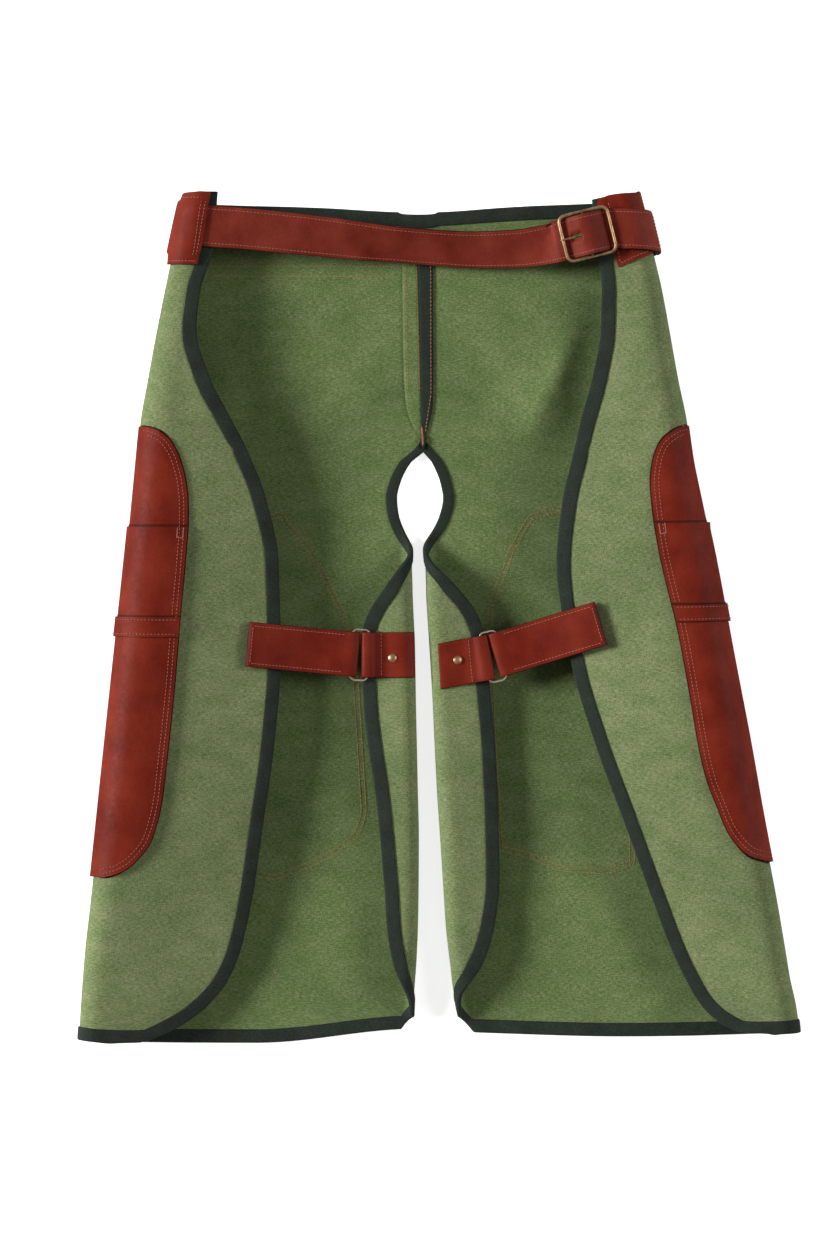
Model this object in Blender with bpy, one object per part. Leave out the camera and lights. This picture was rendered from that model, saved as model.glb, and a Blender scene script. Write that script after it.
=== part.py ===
"""A farrier's apron, laid open on a flat surface with its inside up.

Frame: +X to the wearer's right-hand leg piece as laid, +Y towards the waist, +Z up, in metres.
The lowest point is at Z = 0. The two leg pieces lie front face down. Along each side the cloth
turns up and over in a soft fold, so that a wide flap lies above the panel, and along the inside
of each leg a narrow flap is turned the same way.

Tables are in millimetres. "out" is a distance from the middle line X = 0 towards a leg's own
side, so both legs share the same functions.
"""

from math import asin, cos, hypot, pi, radians, sin

import bmesh
import bpy
from mathutils import Vector

MM = 0.001

CLOTH = 1.6          # canvas thickness
TAPE = 1.2           # binding tape thickness
TAPE_WIDTH = 10.5    # how far the binding covers the cloth on each side
GAP = 0.3            # clearance between pieces that touch
LEATHER = 1.8        # pockets, tabs and straps
BELT = 2.2           # belt leather
BELT_WIDTH = 37.5
EDGE_GAP = 0.7       # room between the cloth's cut edge and the fold of its tape
BENT_GAP = 2.5       # more room under the tape where the cloth bends within its width
HALF = CLOTH / 2
SETBACK = EDGE_GAP + TAPE        # bound cloth ends this far inside the binding's outer edge
OVER_TAPE = HALF + GAP + TAPE    # from the cloth's middle to the binding's face
FLAP_DROOP = 0.13                # how much the flaps tip down past the fold, in radians
FLAP_CURL = 900.0                # radius of the flaps' slight downward curve
WIDEST_STRIP = 27.0              # limits on the bound strip's width along a row
STRIP_BEND = 0.75                # and on how far round a fold it bends, in radians

SIDES = {"left": -1, "right": 1}

# One row for each section across the legs, from waist to hem.
# fold: reach of the outer fold. edge: the outer flap's bound edge. radius: half the fold's
# height. base: height of the cloth where the fold begins. rest: height of the flat panel.
OUTER_COLUMNS = ("y", "left_fold", "left_edge", "right_fold", "right_edge", "radius", "base", "rest")
OUTER = (
    (384, 227.0, 199.0, 179.0, 136.0, 15.0, 5.0, 5.0),
    (330, 239.5, 204.0, 192.0, 141.5, 15.5, 5.0, 5.0),
    (294, 247.2, 214.6, 200.4, 145.7, 17.0, 5.0, 4.8),
    (258, 254.3, 218.3, 207.0, 144.8, 19.0, 5.2, 4.0),
    (213, 262.4, 205.7, 215.0, 137.0, 20.5, 5.8, 3.4),
    (177, 268.7, 187.0, 222.4, 127.3, 21.5, 7.0, 3.4),
    (141, 272.3, 169.0, 227.6, 119.0, 22.0, 7.0, 3.4),
    (105, 275.7, 155.7, 235.0, 110.7, 22.5, 7.0, 3.4),
    (51, 281.2, 144.7, 246.4, 105.4, 23.0, 7.0, 3.4),
    (-39, 290.8, 142.7, 263.2, 118.0, 23.0, 7.0, 3.4),
    (-111, 298.5, 148.1, 277.0, 139.0, 23.0, 7.0, 3.4),
    (-183, 306.1, 158.0, 289.8, 165.4, 22.0, 7.0, 3.4),
    (-255, 313.8, 168.8, 303.7, 191.8, 20.5, 5.5, 3.4),
    (-300, 319.0, 179.0, 311.5, 209.0, 19.0, 4.0, 3.1),
    (-327, 321.3, 190.4, 316.0, 222.0, 18.0, 3.2, 2.8),
    (-350, 323.0, 209.0, 321.2, 236.0, 17.0, 2.6, 2.6),
    (-366, 324.0, 230.0, 323.4, 255.0, 16.0, 2.6, 2.6),
    (-384, 325.0, 270.0, 325.0, 300.0, 15.0, 2.6, 2.6),
)

# fold: reach of the inner fold's silhouette. reach: length of cloth from where it turns up to
# its bound edge; below zero the panel ends before the turn, round the opening at the crotch.
INNER_COLUMNS = ("y", "left_fold", "left_reach", "right_fold", "right_reach", "radius")
INNER = (
    (384, 0.0, -7.6, -34.0, -2.8, 11.0),
    (150.5, 0.0, -2.8, -34.0, -7.6, 11.0),
    (141, 8.0, -4.8, -27.0, -7.5, 11.0),
    (131, 15.0, -4.2, -22.0, -7.4, 11.0),
    (120, 20.0, -3.7, -17.0, -6.2, 11.0),
    (105, 24.5, -1.9, -14.0, -5.4, 11.0),
    (90, 25.0, 0.5, -14.0, -1.9, 11.0),
    (78, 25.0, 4.9, -14.0, 3.7, 11.0),
    (69, 25.0, 9.9, -14.0, 10.2, 11.0),
    (60, 24.9, 17.8, -13.7, 18.3, 11.0),
    (44, 24.8, 33.9, -12.7, 32.9, 11.0),
    (31, 24.3, 44.1, -12.3, 46.2, 11.0),
    (18, 24.0, 53.4, -12.0, 57.4, 11.0),
    (6, 23.5, 62.0, -11.3, 66.0, 11.0),
    (-8, 22.8, 68.6, -10.4, 71.6, 11.0),
    (-21, 22.1, 71.6, -9.5, 74.1, 11.0),
    (-75, 21.2, 70.5, -6.3, 76.0, 11.0),
    (-116, 20.3, 67.0, -4.4, 77.7, 11.0),
    (-158, 19.4, 61.5, -2.3, 77.8, 11.0),
    (-199, 18.5, 58.0, 0.5, 76.3, 11.0),
    (-241, 18.7, 54.1, 3.2, 74.1, 11.0),
    (-282, 19.4, 49.6, 5.9, 65.0, 10.5),
    (-313, 20.8, 41.7, 9.5, 50.0, 10.0),
    (-335, 22.4, 29.8, 12.0, 31.0, 9.5),
    (-348, 23.2, 21.3, 15.0, 21.0, 9.0),
    (-360, 23.8, 17.8, 17.5, 17.8, 9.0),
    (-384, 24.0, 16.8, 22.0, 15.8, 9.0),
)

# The waist and hem lines: the bound edge's y at eight places across a leg.
ACROSS_COLUMNS = ("column", "left_waist", "left_hem", "right_waist", "right_hem")
ACROSS = (
    (0, 384.0, -383.5, 377.0, -374.0),
    (2, 384.0, -384.3, 381.0, -376.5),
    (7, 381.0, -381.5, 383.0, -375.0),
    (10, 372.0, -383.5, 374.0, -376.0),
    (13, 368.5, -384.8, 369.0, -379.0),
    (15, 365.0, -372.5, 365.0, -375.5),
    (18, 363.5, -367.0, 363.5, -369.5),
    (23, 362.7, -361.0, 362.7, -360.5),
)

SEAM_TOP = -19.4      # x of the seam between the legs at the waist
SEAM_APEX = -14.4     # and where it meets the opening at the crotch
WAIST_SEAM_Y = 362.7
APEX_Y = 150.5
APEX_POINT = 1.4      # the tape's extra reach at the opening's pointed top

# Rows of the cloth's mesh between the waist's and the hem's own two rows.
ROW_LINES = (318, 270, 220, 161, APEX_Y, 141, 129, 115, 99, 84, 75, 68, 61, 54, 46, 36, 22, 4,
             -20, -75, -135, -195, -245, -285, -308, -325, -338, -348, -358)
WAIST_ROWS = 2
APEX_ROW = WAIST_ROWS + ROW_LINES.index(APEX_Y)
ROWS = WAIST_ROWS + len(ROW_LINES) + 2
HEM_ROW = ROWS - 1
STRAIGHT_ABOVE = -285.0    # rows above this line run straight across
LOWEST_LINE = -384.0

# Columns of the cloth's mesh, from the outer flap's edge to the inner edge.
FOLD_TOP, FOLD_FOOT = 4, 10
TURN_FOOT, TURN_TOP = 15, 20
LAST = 23
FOLD_SIDE = (FOLD_TOP + FOLD_FOOT) // 2   # the column at the side of the fold
ON_FLAP_COLUMNS = (0, 6)      # columns that span the outer flap
UNDER_FLAP_COLUMN = 14        # a column on the panel, past the fold
ON_INNER_FLAP = (LAST, 17)    # columns that span the inner flap, from its edge
FOOT_WIDTH = 38.0     # the panel stays at its base height this far in from the outer fold
SLOPE_WIDTH = 80.0    # and lies flat from here inwards

# Leather under the knees: corners of each patch as (out, y).
PATCH = 2.1
PATCH_CORNER = 22.0
KNEE_PATCH = {
    "left": ((62.0, 92.0), (136.0, 97.0), (208.0, 80.0), (214.0, -60.0), (212.0, -222.0),
             (140.0, -240.0), (70.0, -228.0), (56.0, -60.0)),
    "right": ((42.0, 96.0), (104.0, 100.0), (168.0, 84.0), (176.0, -60.0), (182.0, -222.0),
              (120.0, -236.0), (54.0, -220.0), (40.0, -60.0)),
}

# Strips on the inside of the seam between the legs: x of their edges.
STRIP = 1.4
SEAM_COLUMNS = ("y", "near", "seam", "far")
SEAM_STRIPS = (
    (349.5, -33.7, -19.4, -5.9),
    (294.0, -33.4, -18.0, -5.6),
    (258.0, -33.0, -17.0, -5.4),
    (213.0, -32.0, -16.0, -5.2),
    (190.0, -30.0, -15.6, -6.0),
    (172.0, -24.0, -15.2, -9.6),
    (163.5, -18.4, -15.0, -12.0),
)

# Side pockets: the edge on the flap as (y, out), and each layer's top and bottom.
POCKET_EDGE = {
    "left": ((169.7, 262.0), (164.0, 251.5), (158.0, 242.6), (151.0, 238.0), (141.0, 233.6),
             (120.0, 228.2), (100.0, 226.4), (86.0, 226.4), (60.0, 228.2), (0.0, 233.6),
             (-66.0, 239.0), (-129.0, 245.7), (-166.0, 250.2), (-201.0, 259.7), (-220.0, 274.0),
             (-230.0, 288.0), (-234.0, 299.0)),
    "right": ((173.0, 219.0), (168.0, 212.8), (160.0, 202.0), (151.0, 195.8), (139.0, 192.2),
              (122.0, 189.8), (101.0, 191.3), (60.0, 197.6), (34.0, 203.4), (-10.0, 214.2),
              (-75.0, 226.4), (-117.0, 233.6), (-147.0, 240.8), (-171.0, 250.2), (-189.0, 257.4),
              (-204.0, 266.9), (-215.0, 278.0), (-221.0, 294.0)),
}
POCKET_LAYERS = ((1.2, 2.8), (3.2, 4.8), (5.2, 6.8))
POCKET_SPANS = {
    "left": {"pocket_back_": (169.7, -234.0), "pocket_front_": (80.5, -234.0),
             "pocket_band_": (-0.5, -18.5)},
    "right": {"pocket_back_": (173.0, -221.0), "pocket_front_": (84.0, -221.0),
              "pocket_band_": (11.0, -5.0)},
}
POCKET_CUTS = (161, 129, 99, 61, 22, -20, -75, -135, -195)

# The belt loop on the left hip: lift of its middle from the cloth's, and reach of its free edge.
HIP_LOOP = (
    (378.6, 3.5, 206.0),
    (375.5, 3.5, 207.0),
    (372.0, 6.4, 208.0),
    (326.5, 6.4, 216.0),
    (323.0, 3.5, 216.8),
    (316.0, 3.5, 217.8),
)
HIP_LOOP_SIDE = 6.6     # the column of its other edge
HIP_PATCH_COLUMNS = (1, 7)
HIP_PATCH = ((150.5, 374.0), (168.0, 377.0), (177.0, 377.0), (189.0, 325.5), (161.0, 314.0))

# The belt across the opening: middle line, height, and how far the hem side tips down (degrees).
BELT_COLUMNS = ("x", "y", "z", "tip")
BELT_ACROSS = (
    (-199.0, 350.2, 38.0, 1.0),
    (-186.0, 349.4, 38.2, 3.0),
    (-165.0, 347.7, 36.6, 6.0),
    (-125.5, 343.8, 33.6, 10.0),
    (-98.5, 341.1, 30.5, 17.0),
    (-67.0, 337.5, 27.5, 25.0),
    (-35.5, 334.5, 25.0, 33.0),
    (-1.4, 331.8, 23.8, 33.0),
    (33.0, 330.0, 24.6, 31.0),
    (68.0, 330.8, 28.5, 26.0),
    (88.0, 333.0, 32.5, 19.0),
    (102.0, 335.6, 36.6, 12.0),
)
BELT_LIFT = 3.8          # belt's middle above the cloth's, over the bound edges
TAB_LIFT = 4.4           # and over the right tab
TAIL_LIFT = 7.1          # the belt's tail, over its first layer
BELT_LEFT = {"top": (370.3, 362.0), "bottom": (332.6, 324.4)}     # y on the flap and beneath
BELT_RIGHT = {"top": (367.0, 359.0), "bottom": (330.0, 321.4)}
BELT_TURN = (11, 10, 9, 8, 7, 6, 5, 4, 3)     # columns of its stations round a hip
LEFT_FLAP_END = (2, 1)                        # its last stations on the left flap
TAIL_COLUMNS = (3, 4, 5, 6, 7, 8)             # stations of the tail on the right flap

# The buckle, in its own frame: u along the belt, n away from the cloth.
BUCKLE_PLACE = (132.7, 343.4, 44.5)
BUCKLE_TURN = 14.0
BAR_SPACING = 45.0
BAR_INTO_FRAME = 0.2       # how far the middle bar's ends pass the frame's middle line
BUCKLE_HEIGHT = 44.4
BUCKLE_WIRE = 1.5
BUCKLE_CORNER = 6.0
PRONG_WIRE = 1.0
# Middle of each layer as (u, n): the tail through the frame, and the inner end round its bar.
TAIL_THROUGH = ((-31.0, -5.2), (-22.5, -3.2), (-17.0, -2.9), (-13.5, -1.2), (-9.0, 1.9), (-5.0, 4.6),
                (0.0, 5.5), (6.0, 4.3), (12.6, 0.2), (17.0, -2.9), (22.5, -3.2))
INNER_END = ((14.0, -8.2), (7.0, -5.4), (0.0, -3.0), (-2.1, -2.1), (-3.0, 0.0), (-2.1, 2.1), (0.0, 3.0),
             (4.0, 1.9), (10.0, -2.6), (16.0, -5.6), (22.5, -5.8))
PRONG_PATH = ((-1.2, -2.6), (1.6, -2.4), (2.9, 0.0), (1.6, 2.4), (-1.2, 2.75), (-4.6, 2.3), (-10.0, 1.7),
              (-17.0, 2.3), (-24.8, 2.9))
SLOT = ((-5.2, 6.6), 2.1, (-4.6, 4.15))      # through the inner end: span of u, half width, span of n
PRONG_HOLE = ((-14.6, -4.2), 1.9, (-7.0, 7.0))

# Each leg's strap, ring and ring tab meet at a ring; u runs from the ring to the outer flap.
STRAP = 2.0
STRAP_WIDTH = 40.5
TAB_WIDTH = 41.0
HOOKS = 1.6
HOOKS_WIDTH = 35.0
RING_WIRE = 1.3
RING_LENGTH = 18.0
RING_HEIGHT = 48.0
RING_CORNER = 4.5
RING_PLACE = {"left": (-71.6, -34.6, 28.6), "right": (47.9, -36.0, 28.6)}
STRAP_TURN = {"left": 174.5, "right": 17.0}
RING_TURN = {"left": 176.5, "right": 13.0}
TAB_TURN = {"left": 180.0, "right": 10.5}
BAR = RING_LENGTH / 2 - RING_WIRE
ROUND_BAR = RING_WIRE + GAP + STRAP / 2
LOOP_SLACK = 2.9         # the straps' loops reach this much past a bar, which lies at a slight angle
ON_FLAP = (77.0, 88.0, 102.5)     # u of the strap's stations on the outer flap
NEAR_RING = 15.0                  # u where its layers have closed up on the hook tape
LAYER_LIFTS = (3.8, 5.9, 8.0)     # lower layer, hook tape and upper layer over the bound edge
# The ring tab on the inner flap: column and lift of its stations, then the column of its end.
TAB_STATIONS = ((22.15, 6.4), (21.7, 4.5), (21.3, 2.5), (21.0, 2.3), (20.0, 2.3))
TAB_END = {"left": (19.0, 18.35), "right": (19.35,)}
TAB_RETURN = (22.15, 3.9)
RIVET_PLACE = {"left": (41.9, -37.4), "right": (15.8, -39.2)}
RIVET_LIFT = 3.7
RIVET_RADIUS = 4.0
RIVET_HEIGHT = 1.7
RIVET_SIDES = 16
RIVET_PROFILE = ((1.0, 0.0), (0.97, 0.3), (0.72, 0.75), (0.35, 0.97))   # (reach, rise)

ORIGIN = Vector((-0.3, -0.63, 0.0))      # below the middle of the whole, in the tables' millimetres

# Plain looks: linear colour, roughness, metallic.
GREEN = ((0.125, 0.185, 0.078), 0.9, 0.0)
DARK_TAPE = ((0.016, 0.023, 0.021), 0.8, 0.0)
OXBLOOD = ((0.16, 0.022, 0.014), 0.6, 0.0)
BRASS = ((0.36, 0.22, 0.10), 0.4, 1.0)
NICKEL_BRASS = ((0.58, 0.46, 0.30), 0.35, 1.0)
BLACK_HOOKS = ((0.012, 0.012, 0.012), 0.9, 0.0)


def clear_scene():
    for old in list(bpy.data.objects):
        bpy.data.objects.remove(old, do_unlink=True)


def material(name, look):
    colour, roughness, metallic = look
    made = bpy.data.materials.new(name)
    made.use_nodes = True
    shader = made.node_tree.nodes["Principled BSDF"]
    shader.inputs["Base Color"].default_value = (*colour, 1.0)
    shader.inputs["Roughness"].default_value = roughness
    shader.inputs["Metallic"].default_value = metallic
    return made


def curve_value(rows, columns, name, at):
    """The named column at a place in the first column, on a smooth curve that never overshoots."""
    k = columns.index(name)
    rows = sorted(rows)
    xs = [row[0] for row in rows]
    ys = [row[k] for row in rows]
    if at <= xs[0]:
        return ys[0]
    if at >= xs[-1]:
        return ys[-1]
    i = max(j for j in range(len(xs) - 1) if xs[j] <= at)
    rises = [(ys[j + 1] - ys[j]) / (xs[j + 1] - xs[j]) for j in range(len(xs) - 1)]

    def slope(j):
        if j == 0 or j == len(xs) - 1:
            return rises[min(j, len(rises) - 1)]
        a, b = rises[j - 1], rises[j]
        return 0.0 if a * b <= 0 else 2 * a * b / (a + b)

    width = xs[i + 1] - xs[i]
    t = (at - xs[i]) / width
    return (ys[i] * (1 + 2 * t) * (1 - t) ** 2 + ys[i + 1] * t * t * (3 - 2 * t)
            + slope(i) * width * t * (1 - t) ** 2 - slope(i + 1) * width * t * t * (1 - t))


def outer(name, y):
    return curve_value(OUTER, OUTER_COLUMNS, name, y)


def inner(name, y):
    return curve_value(INNER, INNER_COLUMNS, name, y)


def seam_x(y):
    return SEAM_APEX + (SEAM_TOP - SEAM_APEX) * (y - APEX_Y) / (WAIST_SEAM_Y - APEX_Y)


class Bend:
    """The cloth's path past the line where it leaves the panel: a fold, then a flap."""

    def __init__(self, foot, height, radius, way):
        self.foot = foot
        self.height = height
        self.radius = radius
        self.way = way                       # +1 outwards, -1 inwards
        self.turn = radius * (pi + FLAP_DROOP)

    def point(self, length):
        """(out, z) after a length of cloth past the foot of the fold; below zero, on the panel."""
        if length <= 0:
            return self.foot + self.way * length, self.height
        angle = min(length / self.radius, pi + FLAP_DROOP)
        out = self.radius * sin(angle)
        z = self.radius * (1 - cos(angle))
        if length > self.turn:
            end = FLAP_DROOP + (length - self.turn) / FLAP_CURL
            out -= FLAP_CURL * (sin(end) - sin(FLAP_DROOP))
            z -= FLAP_CURL * (cos(FLAP_DROOP) - cos(end))
        return self.foot + self.way * out, self.height + z

    def length_to(self, out):
        """The length of cloth at which the flap reaches back to this distance."""
        back = (self.radius * sin(pi + FLAP_DROOP)) - (out - self.foot) * self.way
        end = asin(back / FLAP_CURL + sin(FLAP_DROOP))
        return self.turn + FLAP_CURL * (end - FLAP_DROOP)


def outer_bend(leg, y):
    radius = outer("radius", y)
    foot = outer(leg + "_fold", y) - HALF - radius
    return Bend(foot, outer("base", y), radius, 1)


def inner_bend(leg, y):
    radius = inner("radius", y)
    foot = inner(leg + "_fold", y) + HALF + radius
    return Bend(foot, outer("rest", y), radius, -1)


def outer_reach(leg, y):
    return outer_bend(leg, y).length_to(outer(leg + "_edge", y) + SETBACK)


def inner_reach(leg, y):
    if y >= APEX_Y:
        seam_out = SIDES[leg] * seam_x(y) + GAP / 2
        return inner_bend(leg, y).foot - seam_out
    return inner(leg + "_reach", y) - SETBACK


def strip(reach, bend, leg, y):
    """Width of the bound strip along a row, wider where the edge runs aslant."""
    step = 2.0
    slant = (reach(leg, y + step) - reach(leg, y - step)) / (2 * step)
    if abs(y - APEX_Y) < 2 * step:
        slant = 0.0
    past_turn = max(0.0, reach(leg, y) - bend.turn)
    return min(TAPE_WIDTH * hypot(1, slant), WIDEST_STRIP, past_turn + STRIP_BEND * bend.radius)


def cloth_section(leg, y):
    """(out, z) of every column where a section cuts a leg."""
    bend = outer_bend(leg, y)
    reach = outer_reach(leg, y)
    covered = reach - strip(outer_reach, bend, leg, y)
    top = min(bend.turn, covered - 6)
    lengths = [reach, covered, covered + (top - covered) / 3, covered + (top - covered) * 2 / 3]
    lengths += [top * (FOLD_FOOT - k) / (FOLD_FOOT - FOLD_TOP) for k in range(FOLD_TOP, FOLD_FOOT + 1)]
    section = [bend.point(length) for length in lengths]

    turn = inner_bend(leg, y)
    reach = inner_reach(leg, y)
    covered = reach - strip(inner_reach, turn, leg, y)
    foot = min(0.0, covered - 10)
    top = min(turn.turn, covered - 4)
    rest = outer("rest", y)
    flat_from = bend.foot - SLOPE_WIDTH
    flat_to = turn.foot - foot
    section += [(bend.foot - FOOT_WIDTH, bend.height), (flat_from, rest)]
    section += [(flat_from + (flat_to - flat_from) * k / 3, rest) for k in (1, 2)]
    cells = TURN_TOP - TURN_FOOT
    lengths = [foot + (top - foot) * k / cells for k in range(cells + 1)]
    lengths += [(top + covered) / 2, covered, reach]
    return section + [turn.point(length) for length in lengths]


def row_y(leg, row, column):
    """The y of a mesh row where it crosses a column."""
    waist = curve_value(ACROSS, ACROSS_COLUMNS, leg + "_waist", column) - SETBACK
    hem = curve_value(ACROSS, ACROSS_COLUMNS, leg + "_hem", column) + SETBACK
    if row == 0:
        return waist
    if row == 1:
        return waist - TAPE_WIDTH
    if row == HEM_ROW:
        return hem
    if row == HEM_ROW - 1:
        return hem + TAPE_WIDTH
    line = ROW_LINES[row - WAIST_ROWS]
    if line >= STRAIGHT_ABOVE:
        return line
    share = (line - STRAIGHT_ABOVE) / (LOWEST_LINE - STRAIGHT_ABOVE)
    return STRAIGHT_ABOVE + share * (hem - STRAIGHT_ABOVE)


class Sheet:
    """The middle surface of a leg's cloth: points and normals, row by row, in millimetres."""

    def __init__(self, leg):
        self.side = SIDES[leg]
        self.points = []
        for row in range(ROWS):
            line = []
            for column in range(LAST + 1):
                y = row_y(leg, row, column)
                out, z = cloth_section(leg, y)[column]
                line.append(Vector((self.side * out, y, z)))
            self.points.append(line)
        self.normals = [[self.normal(r, c) for c in range(LAST + 1)] for r in range(ROWS)]

    def normal(self, row, column):
        """Points to the garment's outside: down from the panels, up from the flaps."""
        up = self.points[max(row - 1, 0)][column]
        down = self.points[min(row + 1, HEM_ROW)][column]
        total = Vector()
        here = self.points[row][column]
        for step in (-1, 1):
            if 0 <= column + step <= LAST:
                across = (self.points[row][column + step] - here) * step
                total += across.cross(up - down).normalized()
        return total.normalized() * self.side

    def bend_round(self, row, column):
        """How far the normals turn between a mesh point and its neighbours: 0 where it is flat."""
        here = self.normals[row][column]
        near = [(row - 1, column), (row + 1, column), (row, column - 1), (row, column + 1)]
        return max(1 - here.dot(self.normals[r][c]) for r, c in near if r < ROWS and c <= LAST)

    def at(self, row, column, lift=0.0):
        """A point on the facets at fractional row and column, moved out of the garment by lift."""
        r = min(max(int(row), 0), ROWS - 2)
        c = min(max(int(column), 0), LAST - 1)
        s, t = row - r, column - c

        def blend(grid):
            above = grid[r][c].lerp(grid[r][c + 1], t)
            below = grid[r + 1][c].lerp(grid[r + 1][c + 1], t)
            return above.lerp(below, s)

        return blend(self.points) + blend(self.normals).normalized() * lift

    def row_at(self, column, y):
        """The fractional row at which a column reaches this y."""
        for r in range(ROWS - 1):
            above = self.at(r, column).y
            below = self.at(r + 1, column).y
            if above >= y >= below:
                return r + (above - y) / (above - below)
        raise ValueError("no cloth at this height")

    def find(self, first, last, out, y):
        """(row, column) between two columns where the cloth lies at this distance out."""
        steps = 12
        count = abs(last - first) * steps
        before = None
        for k in range(count + 1):
            column = first + (last - first) * k / count
            row = self.row_at(column, y)
            here = self.at(row, column).x * self.side - out
            if before is not None and (before[1] <= 0 <= here or here <= 0 <= before[1]):
                share = before[1] / (before[1] - here) if here != before[1] else 0.0
                found = before[0] + (column - before[0]) * share
                return self.row_at(found, y), found
            before = (column, here)
        raise ValueError("no cloth at this distance")


def add_body(name, points, faces, look, smooth=False):
    """A closed body from points in millimetres, its faces turned outwards."""
    mesh = bpy.data.meshes.new(name)
    shape = bmesh.new()
    corners = [shape.verts.new((Vector(point) - ORIGIN) * MM) for point in points]
    for face in faces:
        shape.faces.new([corners[k] for k in face])
    bmesh.ops.remove_doubles(shape, verts=shape.verts, dist=1e-6)
    bmesh.ops.triangulate(shape, faces=shape.faces)
    bmesh.ops.recalc_face_normals(shape, faces=shape.faces)
    shape.to_mesh(mesh)
    shape.free()
    mesh.materials.append(look)
    if smooth:
        mesh.shade_smooth()
    body = bpy.data.objects.new(name, mesh)
    bpy.context.collection.objects.link(body)
    return body


def thick_faces(faces, count):
    """Faces of a body whose second layer of points follows its first."""
    sides = {}
    for face in faces:
        for a, b in zip(face, face[1:] + face[:1]):
            sides[(a, b)] = True
    walls = [(a, b, b + count, a + count) for a, b in sides if (b, a) not in sides]
    back = [[k + count for k in reversed(face)] for face in faces]
    return [list(face) for face in faces] + back + walls


def grid_faces(lines, across):
    return [[r * across + c, r * across + c + 1, (r + 1) * across + c + 1, (r + 1) * across + c]
            for r in range(lines - 1) for c in range(across - 1)]


def halves(quad, middle):
    """A quad cut along the shorter diagonal of its points on the middle surface."""
    a, b, c, d = quad
    p, q, r, s = middle
    if (p - r).length < (q - s).length:
        return [[a, b, c], [a, c, d]]
    return [[b, c, d], [b, d, a]]


def leg_cloth(name, sheet, look):
    middle = [point for line in sheet.points for point in line]
    layers = []
    for lift in (-HALF, HALF):
        for r in range(ROWS):
            layers += [sheet.at(r, c, lift) for c in range(LAST + 1)]
    faces = []
    for quad in grid_faces(ROWS, LAST + 1):
        faces += halves(quad, [middle[k] for k in quad])
    return add_body(name, layers, thick_faces(faces, len(middle)), look)


def cut_pattern(outline, columns, rows):
    """A flat outline in (column, row), cut along the cloth's own fold lines."""
    flat = bmesh.new()
    flat.faces.new([flat.verts.new((column, row, 0)) for column, row in outline])
    for axis, lines in ((Vector((1, 0, 0)), columns), (Vector((0, 1, 0)), rows)):
        for line in lines:
            everything = flat.verts[:] + flat.edges[:] + flat.faces[:]
            bmesh.ops.bisect_plane(flat, geom=everything, dist=1e-4, plane_co=axis * line, plane_no=axis)
    flat.verts.index_update()
    places = [(corner.co.x, corner.co.y) for corner in flat.verts]
    faces = [[corner.index for corner in face.verts] for face in flat.faces]
    flat.free()
    return places, faces


def overlay(name, sheet, outline, lifts, look, rows=None):
    """A piece that lies on a leg's cloth, between two lifts; a lift may vary with (column, row)."""
    lines = range(1, HEM_ROW) if rows is None else rows
    places, faces = cut_pattern(outline, range(1, LAST), lines)
    layers = []
    for lift in lifts:
        for column, row in places:
            height = lift(column, row) if callable(lift) else lift
            layers.append(sheet.at(row, column, height))
    return add_body(name, layers, thick_faces(faces, len(places)), look)


def binding(name, runs, look):
    """A tape folded over the cloth's edge.

    Each run gives (sheet, edge place, covered place) and, where the tape turns a point, the
    direction in which it stands out from the edge.
    """
    loops, middles, ways = [], [], {}
    for k, (sheet, edge, covered, *point) in enumerate(runs):
        before = runs[max(k - 1, 0)]
        after = runs[min(k + 1, len(runs) - 1)]
        along = after[0].at(*after[1]) - before[0].at(*before[1])
        here = sheet.at(*edge)
        normal = (sheet.at(*edge, 1.0) - here).normalized()
        outward = along.cross(normal).normalized()
        if sheet.side not in ways:
            ways[sheet.side] = 1 if outward.dot(here - sheet.at(*covered)) > 0 else -1
        outward *= ways[sheet.side]
        if point:
            outward = Vector(point[0])
        inside = HALF + GAP + BENT_GAP * sheet.bend_round(*covered)
        outside = inside + TAPE
        near = here + outward * EDGE_GAP
        far = here + outward * SETBACK
        loops.append([
            sheet.at(*covered, outside), far + normal * outside,
            far - normal * outside, sheet.at(*covered, -outside),
            sheet.at(*covered, -inside), near - normal * inside,
            near + normal * inside, sheet.at(*covered, inside),
        ])
        cloth = (sheet.at(*covered), here)
        middles.append([cloth[0], cloth[1], cloth[1], cloth[0]] * 2)
    return sweep(name, loops, look, caps=((0, 1, 6, 7), (1, 2, 5, 6), (2, 3, 4, 5)), middles=middles)


def sweep(name, loops, look, caps=None, closed=False, smooth=False, middles=None):
    """A body through a row of equal loops of points."""
    size = len(loops[0])
    points = [point for loop in loops for point in loop]
    middle = [point for loop in middles or loops for point in loop]
    count = len(loops)
    faces = []
    for k in range(count if closed else count - 1):
        a, b = k * size, ((k + 1) % count) * size
        for i in range(size):
            quad = [a + i, a + (i + 1) % size, b + (i + 1) % size, b + i]
            faces += halves(quad, [middle[corner] for corner in quad])
    if not closed:
        caps = caps or (tuple(range(size)),)
        end = (count - 1) * size
        faces += [[k for k in reversed(cap)] for cap in caps]
        faces += [[k + end for k in cap] for cap in caps]
    return add_body(name, points, faces, look, smooth)


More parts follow.
